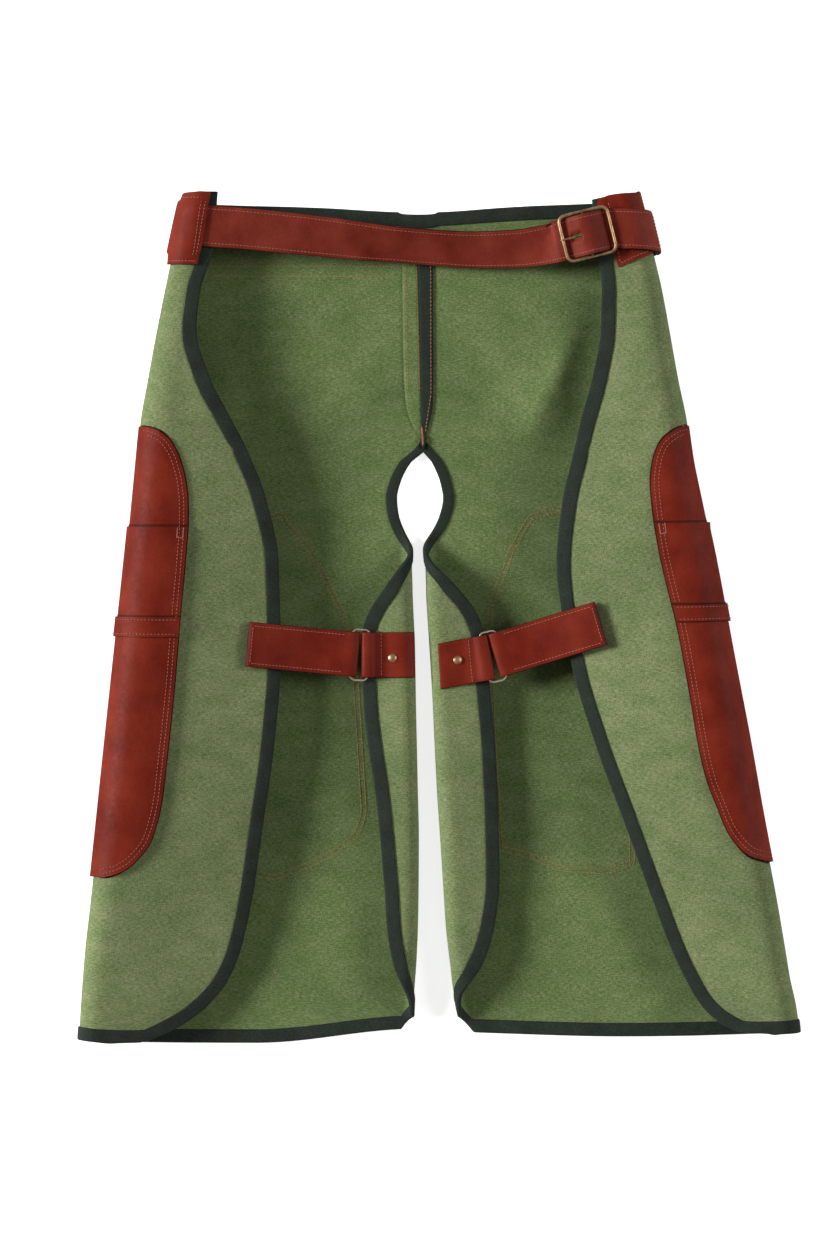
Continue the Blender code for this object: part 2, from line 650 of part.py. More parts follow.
def leg_binding(name, sheet, look):
    """Down the outer flap, along the hem and up the inner edge to the top of the opening."""
    runs = [(sheet, (r, 0), (r, 1)) for r in range(HEM_ROW - 1)]
    corner = (HEM_ROW - 1, 1)
    runs += [(sheet, (HEM_ROW - 1, 0), corner), (sheet, (HEM_ROW, 0), corner),
             (sheet, (HEM_ROW, 1), corner)]
    runs += [(sheet, (HEM_ROW, c), (HEM_ROW - 1, c)) for c in range(2, LAST - 1)]
    corner = (HEM_ROW - 1, LAST - 1)
    runs += [(sheet, (HEM_ROW, LAST - 1), corner), (sheet, (HEM_ROW, LAST), corner),
             (sheet, (HEM_ROW - 1, LAST), corner)]
    runs += [(sheet, (r, LAST), (r, LAST - 1)) for r in range(HEM_ROW - 2, APEX_ROW, -1)]
    runs.append((sheet, (APEX_ROW, LAST), (APEX_ROW - 1, LAST), (0, -APEX_POINT, 0)))
    return binding(name, runs, look)


def waist_binding(name, sheets, look):
    """Along the front waist, from one hip fold to the other."""
    columns = list(range(FOLD_SIDE, LAST + 1))
    runs = [(sheets["left"], (0, c), (1, c)) for c in columns]
    runs += [(sheets["right"], (0, c), (1, c)) for c in reversed(columns)]
    return binding(name, runs, look)


def slab(name, outline, low, high, look):
    """A flat piece of even thickness: its outline in millimetres, between two heights."""
    count = len(outline)
    points = [(x, y, z) for z in (low, high) for x, y in outline]
    return add_body(name, points, thick_faces([list(range(count))], count), look)


def rounded(corners, radius, steps=4):
    """An outline with its corners rounded off."""
    outline = []
    count = len(corners)
    for k, corner in enumerate(corners):
        here = Vector((*corner, 0))
        before = (Vector((*corners[k - 1], 0)) - here).normalized() * radius
        after = (Vector((*corners[(k + 1) % count], 0)) - here).normalized() * radius
        for i in range(steps + 1):
            t = i / steps
            point = here + before * (1 - t) ** 2 + after * t ** 2
            outline.append((point.x, point.y))
    return outline


def knee_patch(name, leg, look):
    """The leather under the front of a leg, flat on the ground."""
    outline = [(SIDES[leg] * out, y) for out, y in KNEE_PATCH[leg]]
    return slab(name, rounded(outline, PATCH_CORNER), 0.0, PATCH, look)


def seam_strips(names, looks):
    """The turned-in allowance and the dark binding along the seam between the legs."""
    for name, look, first, last in zip(names, looks, ("near", "seam"), ("seam", "far")):
        edges = []
        for column, inset in ((first, GAP / 2), (last, -GAP / 2)):
            k = SEAM_COLUMNS.index(column)
            edges.append([(row[k] + inset, row[0]) for row in SEAM_STRIPS])
        points = []
        for lift in (HALF + GAP, HALF + GAP + STRIP):
            points += [(x, y, outer("rest", y) + lift) for edge in edges for x, y in edge]
        count = len(SEAM_STRIPS)
        faces = [[i, i + 1, count + i + 1, count + i] for i in range(count - 1)]
        add_body(name, points, thick_faces(faces, 2 * count), look)


def wrapped_outline(leg, sheet, table, top, bottom):
    """A pocket's outline in (column, row): the edge on the flap, and the same edge under the fold."""
    lines = [y for y, out in table if bottom < y < top]
    lines = [top] + lines + [bottom]
    above, below = [], []
    for y in lines:
        out = curve_value(table, ("y", "out"), "out", y)
        row, column = sheet.find(1, FOLD_SIDE, out, y)
        above.append((column, row))
        row, column = sheet.find(UNDER_FLAP_COLUMN, FOLD_SIDE, out, y)
        below.append((column, row))
    foot = (FOLD_SIDE, sheet.row_at(FOLD_SIDE, bottom))
    head = (FOLD_SIDE, sheet.row_at(FOLD_SIDE, top))
    return above + [foot] + below[::-1] + [head]


def pocket(leg, sheet, looks):
    """Back and front of a side pocket and the band across it, layer on layer."""
    rows = [WAIST_ROWS + ROW_LINES.index(line) for line in POCKET_CUTS]
    layers = zip(("pocket_back_", "pocket_front_", "pocket_band_"), POCKET_LAYERS)
    for (name, (low, high)), look in zip(layers, looks):
        top, bottom = POCKET_SPANS[leg][name]
        outline = wrapped_outline(leg, sheet, POCKET_EDGE[leg], top, bottom)
        overlay(name + leg, sheet, outline, (low, high), look, rows)


def hip_loop(name, sheet, look):
    """The left tab: sewn at its ends, over the belt between them."""
    def middle(column, row):
        y = sheet.at(row, column).y
        return curve_value(HIP_LOOP, ("y", "lift", "edge"), "lift", y)

    outline = []
    for y, lift, edge in HIP_LOOP:
        row, column = sheet.find(*ON_FLAP_COLUMNS, edge, y)
        outline.append((column, row))
    outline += [(HIP_LOOP_SIDE, sheet.row_at(HIP_LOOP_SIDE, y)) for y, lift, edge in reversed(HIP_LOOP)]
    rows = [sheet.row_at(FOLD_TOP, y) for y, lift, edge in HIP_LOOP[1:-1]]
    lifts = (lambda c, r: middle(c, r) - LEATHER / 2, lambda c, r: middle(c, r) + LEATHER / 2)
    overlay(name, sheet, outline, lifts, look, rows)


def hip_patch(name, sheet, look):
    """The right tab, flat on the flap under the belt."""
    outline = []
    for out, y in HIP_PATCH:
        row, column = sheet.find(*HIP_PATCH_COLUMNS, out, y)
        outline.append((column, row))
    overlay(name, sheet, outline, (HALF + GAP, HALF + GAP + LEATHER), look)


def ribbon(name, stations, look):
    """A strap through stations of (low, high) points at one edge and (low, high) at the other."""
    loops = [[a_low, b_low, b_high, a_high] for (a_low, a_high), (b_low, b_high) in stations]
    return sweep(name, loops, look)


def belt_on_hip(sheet, edges, column, lift):
    """Station of the belt at one of the cloth's columns."""
    beneath = min(max((column - FOLD_TOP) / (FOLD_FOOT - FOLD_TOP), 0.0), 1.0)
    station = []
    for edge in ("top", "bottom"):
        y = edges[edge][0] + (edges[edge][1] - edges[edge][0]) * beneath
        row = sheet.row_at(column, y)
        station.append([sheet.at(row, column, lift + side * BELT / 2) for side in (-1, 1)])
    return station


def free_station(middle, across, normal, width, thickness):
    """Station of a strap in the air: middle point, direction across and direction away."""
    return [[middle + across * side * width / 2 + normal * way * thickness / 2 for way in (-1, 1)]
            for side in (1, -1)]


def belt_across():
    stations = []
    for x, y, z, tip in BELT_ACROSS:
        across = Vector((0, cos(radians(tip)), sin(radians(tip))))
        normal = Vector((0, -sin(radians(tip)), cos(radians(tip))))
        stations.append(free_station(Vector((x, y, z)), across, normal, BELT_WIDTH, BELT))
    return stations


class Place:
    """A frame of its own for fittings: u along the strap, v across it, n away from the cloth."""

    def __init__(self, origin, turn):
        angle = radians(turn)
        self.origin = Vector(origin)
        self.along = Vector((cos(angle), sin(angle), 0))
        self.across = Vector((-sin(angle), cos(angle), 0))
        self.up = Vector((0, 0, 1))

    def at(self, u, v, n):
        return self.origin + self.along * u + self.across * v + self.up * n


def path_stations(place, path, width, thickness):
    """Stations of a strap whose middle runs through (u, n) places in a fitting's frame."""
    stations = []
    for k, (u, n) in enumerate(path):
        before, after = path[max(k - 1, 0)], path[min(k + 1, len(path) - 1)]
        along = place.along * (after[0] - before[0]) + place.up * (after[1] - before[1])
        normal = along.cross(place.across).normalized() * -1
        stations.append(free_station(place.at(u, 0, n), place.across, normal * -1, width, thickness))
    return stations


def cutter(name, place, span, half_width, depth):
    """A box in a fitting's frame, hidden, that cuts another body."""
    start, end = span
    corners = ((start, -half_width), (end, -half_width), (end, half_width), (start, half_width))
    points = [place.at(u, v, n) for n in depth for u, v in corners]
    box = add_body(name, points, thick_faces([[0, 1, 2, 3]], 4), material(name, OXBLOOD))
    box.hide_render = True
    box.display_type = "WIRE"
    return box


def cut(body, operation, other):
    boolean = body.modifiers.new(other.name, "BOOLEAN")
    boolean.operation = operation
    boolean.solver = "EXACT"
    boolean.object = other


def belt_strap(name, sheets, place, look):
    """One strap: round the buckle's bar, round both hips under the cloth, and back through."""
    left, right = sheets["left"], sheets["right"]
    stations = path_stations(place, INNER_END, BELT_WIDTH, BELT)
    lifts = {column: TAB_LIFT if column < FOLD_SIDE else BELT_LIFT for column in BELT_TURN}
    stations += [belt_on_hip(right, BELT_RIGHT, column, lifts[column]) for column in reversed(BELT_TURN)]
    stations += [belt_on_hip(left, BELT_LEFT, column, BELT_LIFT) for column in BELT_TURN + LEFT_FLAP_END]
    stations += belt_across()
    stations += path_stations(place, TAIL_THROUGH, BELT_WIDTH, BELT)
    stations += [belt_on_hip(right, BELT_RIGHT, column, TAIL_LIFT) for column in TAIL_COLUMNS]
    belt = ribbon(name, stations, look)
    cut(belt, "DIFFERENCE", cutter("belt_slot_cutter", place, *SLOT))
    cut(belt, "DIFFERENCE", cutter("belt_hole_cutter", place, *PRONG_HOLE))
    return belt


def wire(name, points, radius, look, closed=False, sides=8):
    """A round wire through points."""
    loops = []
    count = len(points)
    normal = Vector((0, 0, 1))
    for k, point in enumerate(points):
        before = points[k - 1] if closed or k > 0 else point
        after = points[(k + 1) % count] if closed or k < count - 1 else point
        along = (after - before).normalized()
        across = along.cross(normal)
        if across.length < 0.2:
            across = along.cross(Vector((1, 0, 0)))
        across.normalize()
        up = across.cross(along).normalized()
        loops.append([point + (across * cos(turn) + up * sin(turn)) * radius
                      for turn in [2 * pi * i / sides for i in range(sides)]])
    return sweep(name, loops, look, closed=closed, smooth=True)


def ring_points(place, length, height, corner, steps=5):
    """Middle line of a rectangular ring with rounded corners, flat in a fitting's frame."""
    points = []
    for quarter, (u_sign, v_sign) in enumerate(((1, 1), (-1, 1), (-1, -1), (1, -1))):
        for i in range(steps + 1):
            turn = radians(90 * quarter + 90 * i / steps)
            u = u_sign * (length / 2 - corner) + corner * cos(turn)
            v = v_sign * (height / 2 - corner) + corner * sin(turn)
            points.append(place.at(u, v, 0))
    return points


def buckle(place, looks):
    """Frame with its middle bar, and the prong hung on that bar."""
    height = BUCKLE_HEIGHT - 2 * BUCKLE_WIRE
    frame = wire("buckle_frame", ring_points(place, BAR_SPACING, height, BUCKLE_CORNER), BUCKLE_WIRE,
                 looks[0], closed=True)
    ends = [place.at(0, side * (height / 2 + BAR_INTO_FRAME), 0) for side in (-1, 1)]
    bar = wire("buckle_bar_joined", ends, BUCKLE_WIRE, looks[0])
    bar.hide_render = True
    bar.display_type = "WIRE"
    cut(frame, "UNION", bar)
    prong = [place.at(u, 0, n) for u, n in PRONG_PATH]
    wire("buckle_prong", prong, PRONG_WIRE, looks[1])


def on_flap(sheet, place, u, width, lift, thickness):
    """Station of a strap lying on the outer flap, at a distance along a fitting's line."""
    station = []
    for side in (1, -1):
        spot = place.at(u, side * width / 2, 0)
        row, column = sheet.find(*ON_FLAP_COLUMNS, spot.x * sheet.side, spot.y)
        station.append([sheet.at(row, column, lift + way * thickness / 2) for way in (-1, 1)])
    return station


def on_column(sheet, place, column, width, lift):
    """Station of a strap where it crosses one of the cloth's columns."""
    station = []
    for side in (1, -1):
        y = place.origin.y
        for _ in range(3):
            spot = sheet.at(sheet.row_at(column, y), column)
            y += (side * width / 2 - (spot - place.origin).dot(place.across)) / place.across.y
        row = sheet.row_at(column, y)
        station.append([sheet.at(row, column, lift + way * STRAP / 2) for way in (-1, 1)])
    return station


def round_bar(way):
    """(u, n) round a ring's bar, from below to above, on the side that way points to."""
    slant = ROUND_BAR * sin(radians(45))
    tip = BAR - LOOP_SLACK
    path = ((BAR + 3.0, -ROUND_BAR), (BAR, -ROUND_BAR), (tip - slant, -slant), (tip - ROUND_BAR, 0.0),
            (tip - slant, slant), (BAR, ROUND_BAR), (BAR + 3.0, ROUND_BAR))
    return [(way * u, n) for u, n in path]


def flip(stations):
    """The same stations with their faces changed over, for a layer that runs back under another."""
    return [[(a_high, a_low), (b_high, b_low)] for (a_low, a_high), (b_low, b_high) in stations]


def leg_strap(leg, sheet, looks):
    """A strap doubled through the ring, sewn on the outer flap, with hook tape between its layers."""
    place = Place(RING_PLACE[leg], STRAP_TURN[leg])
    low, hooks, high = LAYER_LIFTS
    spread = (high - low) / 2
    near = [free_station(place.at(NEAR_RING, 0, n), place.across, place.up, STRAP_WIDTH, STRAP)
            for n in (-spread, spread)]
    lower = [on_flap(sheet, place, u, STRAP_WIDTH, low, STRAP) for u in reversed(ON_FLAP)]
    upper = [on_flap(sheet, place, u, STRAP_WIDTH, high, STRAP) for u in ON_FLAP]
    loop = path_stations(place, round_bar(1), STRAP_WIDTH, STRAP)
    ribbon("leg_strap_" + leg, flip(lower + [near[0]]) + loop + [near[1]] + upper, looks[0])
    tape = [free_station(place.at(NEAR_RING + 1.0, 0, 0), place.across, place.up, HOOKS_WIDTH, HOOKS)]
    tape += [on_flap(sheet, place, u, HOOKS_WIDTH, hooks, HOOKS) for u in ON_FLAP]
    ribbon("strap_tape_" + leg, tape, looks[1])


def ring_tab(leg, sheet, look):
    """The tab that holds the ring on the inner flap."""
    place = Place(RING_PLACE[leg], TAB_TURN[leg])
    loop = path_stations(place, round_bar(-1), TAB_WIDTH, STRAP)
    lower = [on_column(sheet, place, TAB_RETURN[0], TAB_WIDTH, TAB_RETURN[1])]
    stations = TAB_STATIONS + tuple((column, TAB_STATIONS[-1][1]) for column in TAB_END[leg])
    upper = [on_column(sheet, place, column, TAB_WIDTH, lift) for column, lift in stations]
    ribbon("ring_tab_" + leg, lower + loop + flip(upper), look)


def ring(leg, look):
    place = Place(RING_PLACE[leg], RING_TURN[leg])
    points = ring_points(place, 2 * BAR, RING_HEIGHT - 2 * RING_WIRE, RING_CORNER)
    wire("strap_ring_" + leg, points, RING_WIRE, look, closed=True)


def rivet(leg, sheet, look):
    """A domed rivet head on the ring tab."""
    row, column = sheet.find(*ON_INNER_FLAP, *RIVET_PLACE[leg])
    base = sheet.at(row, column, RIVET_LIFT)
    up = (sheet.at(row, column, RIVET_LIFT + 1) - base).normalized()
    along = up.cross(Vector((0, 1, 0))).normalized()
    across = up.cross(along)
    sides = RIVET_SIDES
    points, faces = [], []
    for reach, rise in RIVET_PROFILE:
        points += [base + (along * cos(turn) + across * sin(turn)) * RIVET_RADIUS * reach
                   + up * RIVET_HEIGHT * rise for turn in [2 * pi * k / sides for k in range(sides)]]
    for ring_index in range(len(RIVET_PROFILE) - 1):
        a, b = ring_index * sides, (ring_index + 1) * sides
        faces += [[a + k, a + (k + 1) % sides, b + (k + 1) % sides, b + k] for k in range(sides)]
    faces.append(list(range(sides))[::-1])
    faces.append([(len(RIVET_PROFILE) - 1) * sides + k for k in range(sides)])
    add_body("ring_tab_rivet_" + leg, points, faces, look, smooth=True)


def main():
    clear_scene()
    sheets = {leg: Sheet(leg) for leg in SIDES}
    for leg, sheet in sheets.items():
        leg_cloth("leg_" + leg, sheet, material("leg_" + leg, GREEN))
        leg_binding("edge_binding_" + leg, sheet, material("edge_binding_" + leg, DARK_TAPE))
        names = ("pocket_back_" + leg, "pocket_front_" + leg, "pocket_band_" + leg)
        pocket(leg, sheet, [material(name, OXBLOOD) for name in names])
        knee_patch("knee_patch_" + leg, leg, material("knee_patch_" + leg, OXBLOOD))
        leg_strap(leg, sheet, (material("leg_strap_" + leg, OXBLOOD),
                               material("strap_tape_" + leg, BLACK_HOOKS)))
        ring_tab(leg, sheet, material("ring_tab_" + leg, OXBLOOD))
        ring(leg, material("strap_ring_" + leg, NICKEL_BRASS))
        rivet(leg, sheet, material("ring_tab_rivet_" + leg, BRASS))
    waist_binding("waist_binding", sheets, material("waist_binding", DARK_TAPE))
    seam_strips(("seam_allowance", "seam_binding"),
                (material("seam_allowance", GREEN), material("seam_binding", DARK_TAPE)))
    hip_loop("hip_tab_left", sheets["left"], material("hip_tab_left", OXBLOOD))
    hip_patch("hip_tab_right", sheets["right"], material("hip_tab_right", OXBLOOD))
    place = Place(BUCKLE_PLACE, BUCKLE_TURN)
    belt_strap("belt_strap", sheets, place, material("belt_strap", OXBLOOD))
    buckle(place, (material("buckle_frame", BRASS), material("buckle_prong", BRASS)))


main()
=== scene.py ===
"""Looks for the farrier apron: fine cloth, tape, leather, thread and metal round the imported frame.

The shapes come from the same tables and functions as the solids, in millimetres, so every piece
lies where its solid does. "out" is a distance from the middle line towards a leg's own side.
"""

from bisect import bisect_right
from math import asin, cos, exp, hypot, pi, radians, sin

import bmesh
import bpy
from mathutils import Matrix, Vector


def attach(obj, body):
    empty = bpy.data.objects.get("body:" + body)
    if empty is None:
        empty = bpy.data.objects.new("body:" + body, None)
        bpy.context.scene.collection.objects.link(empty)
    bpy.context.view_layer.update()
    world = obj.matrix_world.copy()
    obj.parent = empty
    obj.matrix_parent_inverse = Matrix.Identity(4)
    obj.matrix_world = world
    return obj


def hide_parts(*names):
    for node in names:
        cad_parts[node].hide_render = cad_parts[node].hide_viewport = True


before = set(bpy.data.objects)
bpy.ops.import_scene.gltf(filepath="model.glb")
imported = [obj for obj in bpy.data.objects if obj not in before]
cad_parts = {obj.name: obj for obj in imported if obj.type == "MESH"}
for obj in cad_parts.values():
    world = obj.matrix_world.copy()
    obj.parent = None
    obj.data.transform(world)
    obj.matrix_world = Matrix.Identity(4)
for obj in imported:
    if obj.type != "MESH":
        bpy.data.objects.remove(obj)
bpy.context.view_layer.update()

MM = 0.001

CLOTH = 1.6          # canvas thickness
TAPE = 1.2           # binding tape thickness
TAPE_WIDTH = 10.5    # how far the binding covers the cloth on each side
GAP = 0.3            # clearance between pieces that touch
LEATHER = 1.8        # pockets, tabs and straps
BELT = 2.2           # belt leather
BELT_WIDTH = 37.5
EDGE_GAP = 0.7       # room between the cloth's cut edge and the fold of its tape
HALF = CLOTH / 2
SETBACK = EDGE_GAP + TAPE        # bound cloth ends this far inside the binding's outer edge
OVER_TAPE = HALF + GAP + TAPE    # from the cloth's middle to the binding's face
FLAP_DROOP = 0.13                # how much the flaps tip down past the fold, in radians
FLAP_CURL = 900.0                # radius of the flaps' slight downward curve
WIDEST_STRIP = 27.0              # limits on the bound strip's width along a row
STRIP_BEND = 0.75                # and on how far round a fold it bends, in radians

SIDES = {"left": -1, "right": 1}

# One row for each section across the legs, from waist to hem.
# fold: reach of the outer fold. edge: the outer flap's bound edge. radius: half the fold's
# height. base: height of the cloth where the fold begins. rest: height of the flat panel.
OUTER_COLUMNS = ("y", "left_fold", "left_edge", "right_fold", "right_edge", "radius", "base", "rest")
OUTER = (
    (384, 227.0, 199.0, 179.0, 136.0, 15.0, 5.0, 5.0),
    (330, 239.5, 204.0, 192.0, 141.5, 15.5, 5.0, 5.0),
    (294, 247.2, 214.6, 200.4, 145.7, 17.0, 5.0, 4.8),
    (258, 254.3, 218.3, 207.0, 144.8, 19.0, 5.2, 4.0),
    (213, 262.4, 205.7, 215.0, 137.0, 20.5, 5.8, 3.4),
    (177, 268.7, 187.0, 222.4, 127.3, 21.5, 7.0, 3.4),
    (141, 272.3, 169.0, 227.6, 119.0, 22.0, 7.0, 3.4),
    (105, 275.7, 155.7, 235.0, 110.7, 22.5, 7.0, 3.4),
    (51, 281.2, 144.7, 246.4, 105.4, 23.0, 7.0, 3.4),
    (-39, 290.8, 142.7, 263.2, 118.0, 23.0, 7.0, 3.4),
    (-111, 298.5, 148.1, 277.0, 139.0, 23.0, 7.0, 3.4),
    (-183, 306.1, 158.0, 289.8, 165.4, 22.0, 7.0, 3.4),
    (-255, 313.8, 168.8, 303.7, 191.8, 20.5, 5.5, 3.4),
    (-300, 319.0, 179.0, 311.5, 209.0, 19.0, 4.0, 3.1),
    (-327, 321.3, 190.4, 316.0, 222.0, 18.0, 3.2, 2.8),
    (-350, 323.0, 209.0, 321.2, 236.0, 17.0, 2.6, 2.6),
    (-366, 324.0, 230.0, 323.4, 255.0, 16.0, 2.6, 2.6),
    (-384, 325.0, 270.0, 325.0, 300.0, 15.0, 2.6, 2.6),
)

# fold: reach of the inner fold's silhouette. reach: length of cloth from where it turns up to
# its bound edge; below zero the panel ends before the turn, round the opening at the crotch.
INNER_COLUMNS = ("y", "left_fold", "left_reach", "right_fold", "right_reach", "radius")
INNER = (
    (384, 0.0, -7.6, -34.0, -2.8, 11.0),
    (150.5, 0.0, -2.8, -34.0, -7.6, 11.0),
    (141, 8.0, -4.8, -27.0, -7.5, 11.0),
    (131, 15.0, -4.2, -22.0, -7.4, 11.0),
    (120, 20.0, -3.7, -17.0, -6.2, 11.0),
    (105, 24.5, -1.9, -14.0, -5.4, 11.0),
    (90, 25.0, 0.5, -14.0, -1.9, 11.0),
    (78, 25.0, 4.9, -14.0, 3.7, 11.0),
    (69, 25.0, 9.9, -14.0, 10.2, 11.0),
    (60, 24.9, 17.8, -13.7, 18.3, 11.0),
    (44, 24.8, 33.9, -12.7, 32.9, 11.0),
    (31, 24.3, 44.1, -12.3, 46.2, 11.0),
    (18, 24.0, 53.4, -12.0, 57.4, 11.0),
    (6, 23.5, 62.0, -11.3, 66.0, 11.0),
    (-8, 22.8, 68.6, -10.4, 71.6, 11.0),
    (-21, 22.1, 71.6, -9.5, 74.1, 11.0),
    (-75, 21.2, 70.5, -6.3, 76.0, 11.0),
    (-116, 20.3, 67.0, -4.4, 77.7, 11.0),
    (-158, 19.4, 61.5, -2.3, 77.8, 11.0),
    (-199, 18.5, 58.0, 0.5, 76.3, 11.0),
    (-241, 18.7, 54.1, 3.2, 74.1, 11.0),
    (-282, 19.4, 49.6, 5.9, 65.0, 10.5),
    (-313, 20.8, 41.7, 9.5, 50.0, 10.0),
    (-335, 22.4, 29.8, 12.0, 31.0, 9.5),
    (-348, 23.2, 21.3, 15.0, 21.0, 9.0),
    (-360, 23.8, 17.8, 17.5, 17.8, 9.0),
    (-384, 24.0, 16.8, 22.0, 15.8, 9.0),
)

# The waist and hem lines: the bound edge's y at eight places across a leg.
ACROSS_COLUMNS = ("column", "left_waist", "left_hem", "right_waist", "right_hem")
ACROSS = (
    (0, 384.0, -383.5, 377.0, -374.0),
    (2, 384.0, -384.3, 381.0, -376.5),
    (7, 381.0, -381.5, 383.0, -375.0),
    (10, 372.0, -383.5, 374.0, -376.0),
    (13, 368.5, -384.8, 369.0, -379.0),
    (15, 365.0, -372.5, 365.0, -375.5),
    (18, 363.5, -367.0, 363.5, -369.5),
    (23, 362.7, -361.0, 362.7, -360.5),
)

SEAM_TOP = -19.4      # x of the seam between the legs at the waist
SEAM_APEX = -14.4     # and where it meets the opening at the crotch
WAIST_SEAM_Y = 362.7
APEX_Y = 150.5
APEX_POINT = 1.4      # the tape's extra reach at the opening's pointed top

# Rows of the cloth's mesh between the waist's and the hem's own two rows.
ROW_LINES = (318, 270, 220, 161, APEX_Y, 141, 129, 115, 99, 84, 75, 68, 61, 54, 46, 36, 22, 4,
             -20, -75, -135, -195, -245, -285, -308, -325, -338, -348, -358)
WAIST_ROWS = 2
APEX_ROW = WAIST_ROWS + ROW_LINES.index(APEX_Y)
ROWS = WAIST_ROWS + len(ROW_LINES) + 2
HEM_ROW = ROWS - 1
STRAIGHT_ABOVE = -285.0    # rows above this line run straight across
LOWEST_LINE = -384.0

# Columns of the cloth's mesh, from the outer flap's edge to the inner edge.
FOLD_TOP, FOLD_FOOT = 4, 10
TURN_FOOT, TURN_TOP = 15, 20
LAST = 23
FOLD_SIDE = (FOLD_TOP + FOLD_FOOT) // 2   # the column at the side of the fold
BOUND_COLUMN = 1              # the column where the outer flap's bound edge ends
ON_FLAP_COLUMNS = (0, 6)      # columns that span the outer flap
ON_HIP_COLUMNS = (0, 7)       # and the flap with the near half of its fold
ON_PANEL = (11, TURN_FOOT)    # columns that span the panel
UNDER_FLAP_COLUMN = 14        # a column on the panel, past the fold
ON_INNER_FLAP = (LAST, 17)    # columns that span the inner flap, from its edge
MIDDLE = 12                   # the column at the panel's middle
FOOT_WIDTH = 38.0     # the panel stays at its base height this far in from the outer fold
SLOPE_WIDTH = 80.0    # and lies flat from here inwards
FLAP_ROOM, TURN_ROOM, FOOT_ROOM = 6.0, 4.0, 10.0     # least cloth between folds and bound strips

# Leather under the knees: corners of each patch as (out, y), and the rows of thread inside its edge.
PATCH = 2.1
PATCH_CORNER = 7.0
KNEE_PATCH = {
    "left": ((141.0, 99.0), (119.0, 72.0), (103.0, 47.0), (90.0, 21.0), (80.0, 2.0), (71.0, -30.0),
             (62.0, -178.0), (69.0, -200.0), (91.0, -217.0), (119.0, -231.0), (150.0, -242.0),
             (212.0, -224.0), (214.0, -60.0), (208.0, 82.0)),
    "right": ((110.0, 103.0), (79.0, 95.0), (68.0, 77.0), (54.0, 44.0), (40.0, 12.0), (40.0, -60.0),
              (49.0, -214.0), (80.0, -221.0), (107.0, -233.0), (152.0, -236.0), (180.0, -226.0),
              (176.0, -60.0), (168.0, 86.0)),
}
KNEE_ROWS = (3.6, 8.0)

# Strips on the inside of the seam between the legs: x of their edges.
STRIP = 1.4
SEAM_COLUMNS = ("y", "near", "seam", "far")
SEAM_STRIPS = (
    (349.5, -33.7, -19.4, -5.9),
    (294.0, -33.4, -18.0, -5.6),
    (258.0, -33.0, -17.0, -5.4),
    (213.0, -32.0, -16.0, -5.2),
    (190.0, -30.0, -15.6, -6.0),
    (172.0, -24.0, -15.2, -9.6),
    (163.5, -18.4, -15.0, -12.0),
)
SEAM_SHIFT = 1.2         # the binding covers the legs' seam by this much
SEAM_LINES, SEAM_ACROSS = 62, 6
SEAM_ROUND = 0.2         # how much thinner the strips are at their edges
SEAM_PLUMP = 0.25        # and how far they bulge along their middle
CROTCH_TOP = 163.0       # below this the seam binding rides up on the crotch's tape
CROTCH_RISE = 2.5        # over this length
# Over the crotch's tape the seam binding goes on as (y, edge, edge).
CROTCH_BINDING = ((161.5, -17.4, -11.6), (160.0, -17.6, -11.4), (158.0, -17.4, -11.6),
                  (155.0, -16.6, -12.4), (150.8, -15.2, -13.8))
# Rows of thread as (start, end), each (x, y): inside the panels, along the seam, and the crotch's tack.
INSIDE_ROWS = (
    ((-208.0, 316.0), (-40.0, 316.0)),
    ((-206.0, 307.0), (-40.0, 307.0)),
    ((-4.0, 305.5), (9.5, 305.5)),
    ((-31.0, 345.0), (-30.8, 205.0)),
)
SEAM_ROWS = (
    ((-31.0, 347.0), (-28.5, 205.0)),
    ((-21.5, 347.0), (-18.0, 200.0)),
    ((-7.9, 347.0), (-7.6, 200.0)),
    ((-7.8, 200.0), (-12.4, 168.0)),
)
CROTCH_TACK = (((-16.5, 172.0), (-15.2, 155.0)), ((-15.6, 170.0), (-14.4, 155.0)))

# Side pockets: the edge on the flap as (y, out), and each layer's top and bottom.
POCKET_COLUMNS = ("y", "out")
POCKET_EDGE = {
    "left": ((170.4, 265.0), (169.6, 260.0), (167.4, 253.0), (163.5, 247.3), (158.0, 242.2),
             (151.0, 237.9), (141.0, 233.4), (120.0, 228.2), (100.0, 226.4), (86.0, 226.4),
             (60.0, 228.2), (0.0, 233.6), (-66.0, 239.0), (-129.0, 245.7), (-166.0, 250.2),
             (-201.0, 259.7), (-220.0, 274.0), (-230.0, 288.0), (-234.0, 299.0)),
    "right": ((171.2, 221.0), (170.4, 216.5), (168.6, 212.0), (165.0, 206.5), (160.0, 200.8),
              (152.0, 195.8), (139.0, 191.8), (122.0, 189.8), (101.0, 191.3), (60.0, 197.6),
              (34.0, 203.4), (-10.0, 214.2), (-75.0, 226.4), (-117.0, 233.6), (-147.0, 240.8),
              (-171.0, 250.2), (-189.0, 257.4), (-204.0, 266.9), (-215.0, 278.0), (-221.0, 294.0)),
}
POCKET_LAYERS = ((1.2, 2.8), (3.2, 4.8), (5.2, 6.8))     # lifts of the back, the front and the band
POCKET_SPANS = {
    "left": {"pocket_back_": (170.4, -234.0), "pocket_front_": (80.5, -234.0),
             "pocket_band_": (-0.5, -18.5)},
    "right": {"pocket_back_": (171.2, -221.0), "pocket_front_": (84.0, -221.0),
              "pocket_band_": (11.0, -5.0)},
}
POCKET_RIM, LEATHER_RIM, THIN_RIM = 0.75, 0.5, 0.1     # how far a leather piece's edge is rounded
POCKET_EDGE_SHADOW = 1.4                       # how far a pocket's dark edge and its painted shadow show past the edge
POCKET_EDGE_SHADOW_LIFTS = (0.9, 1.3)
FRONT_MOUTH_SHADE, BAND_MOUTH_SHADE = 2.0, 1.4      # heights of the painted shade lines over the front and over the band
MOUTH_SHADE_BEHIND = 1.0                      # how far these reach down behind the layer above
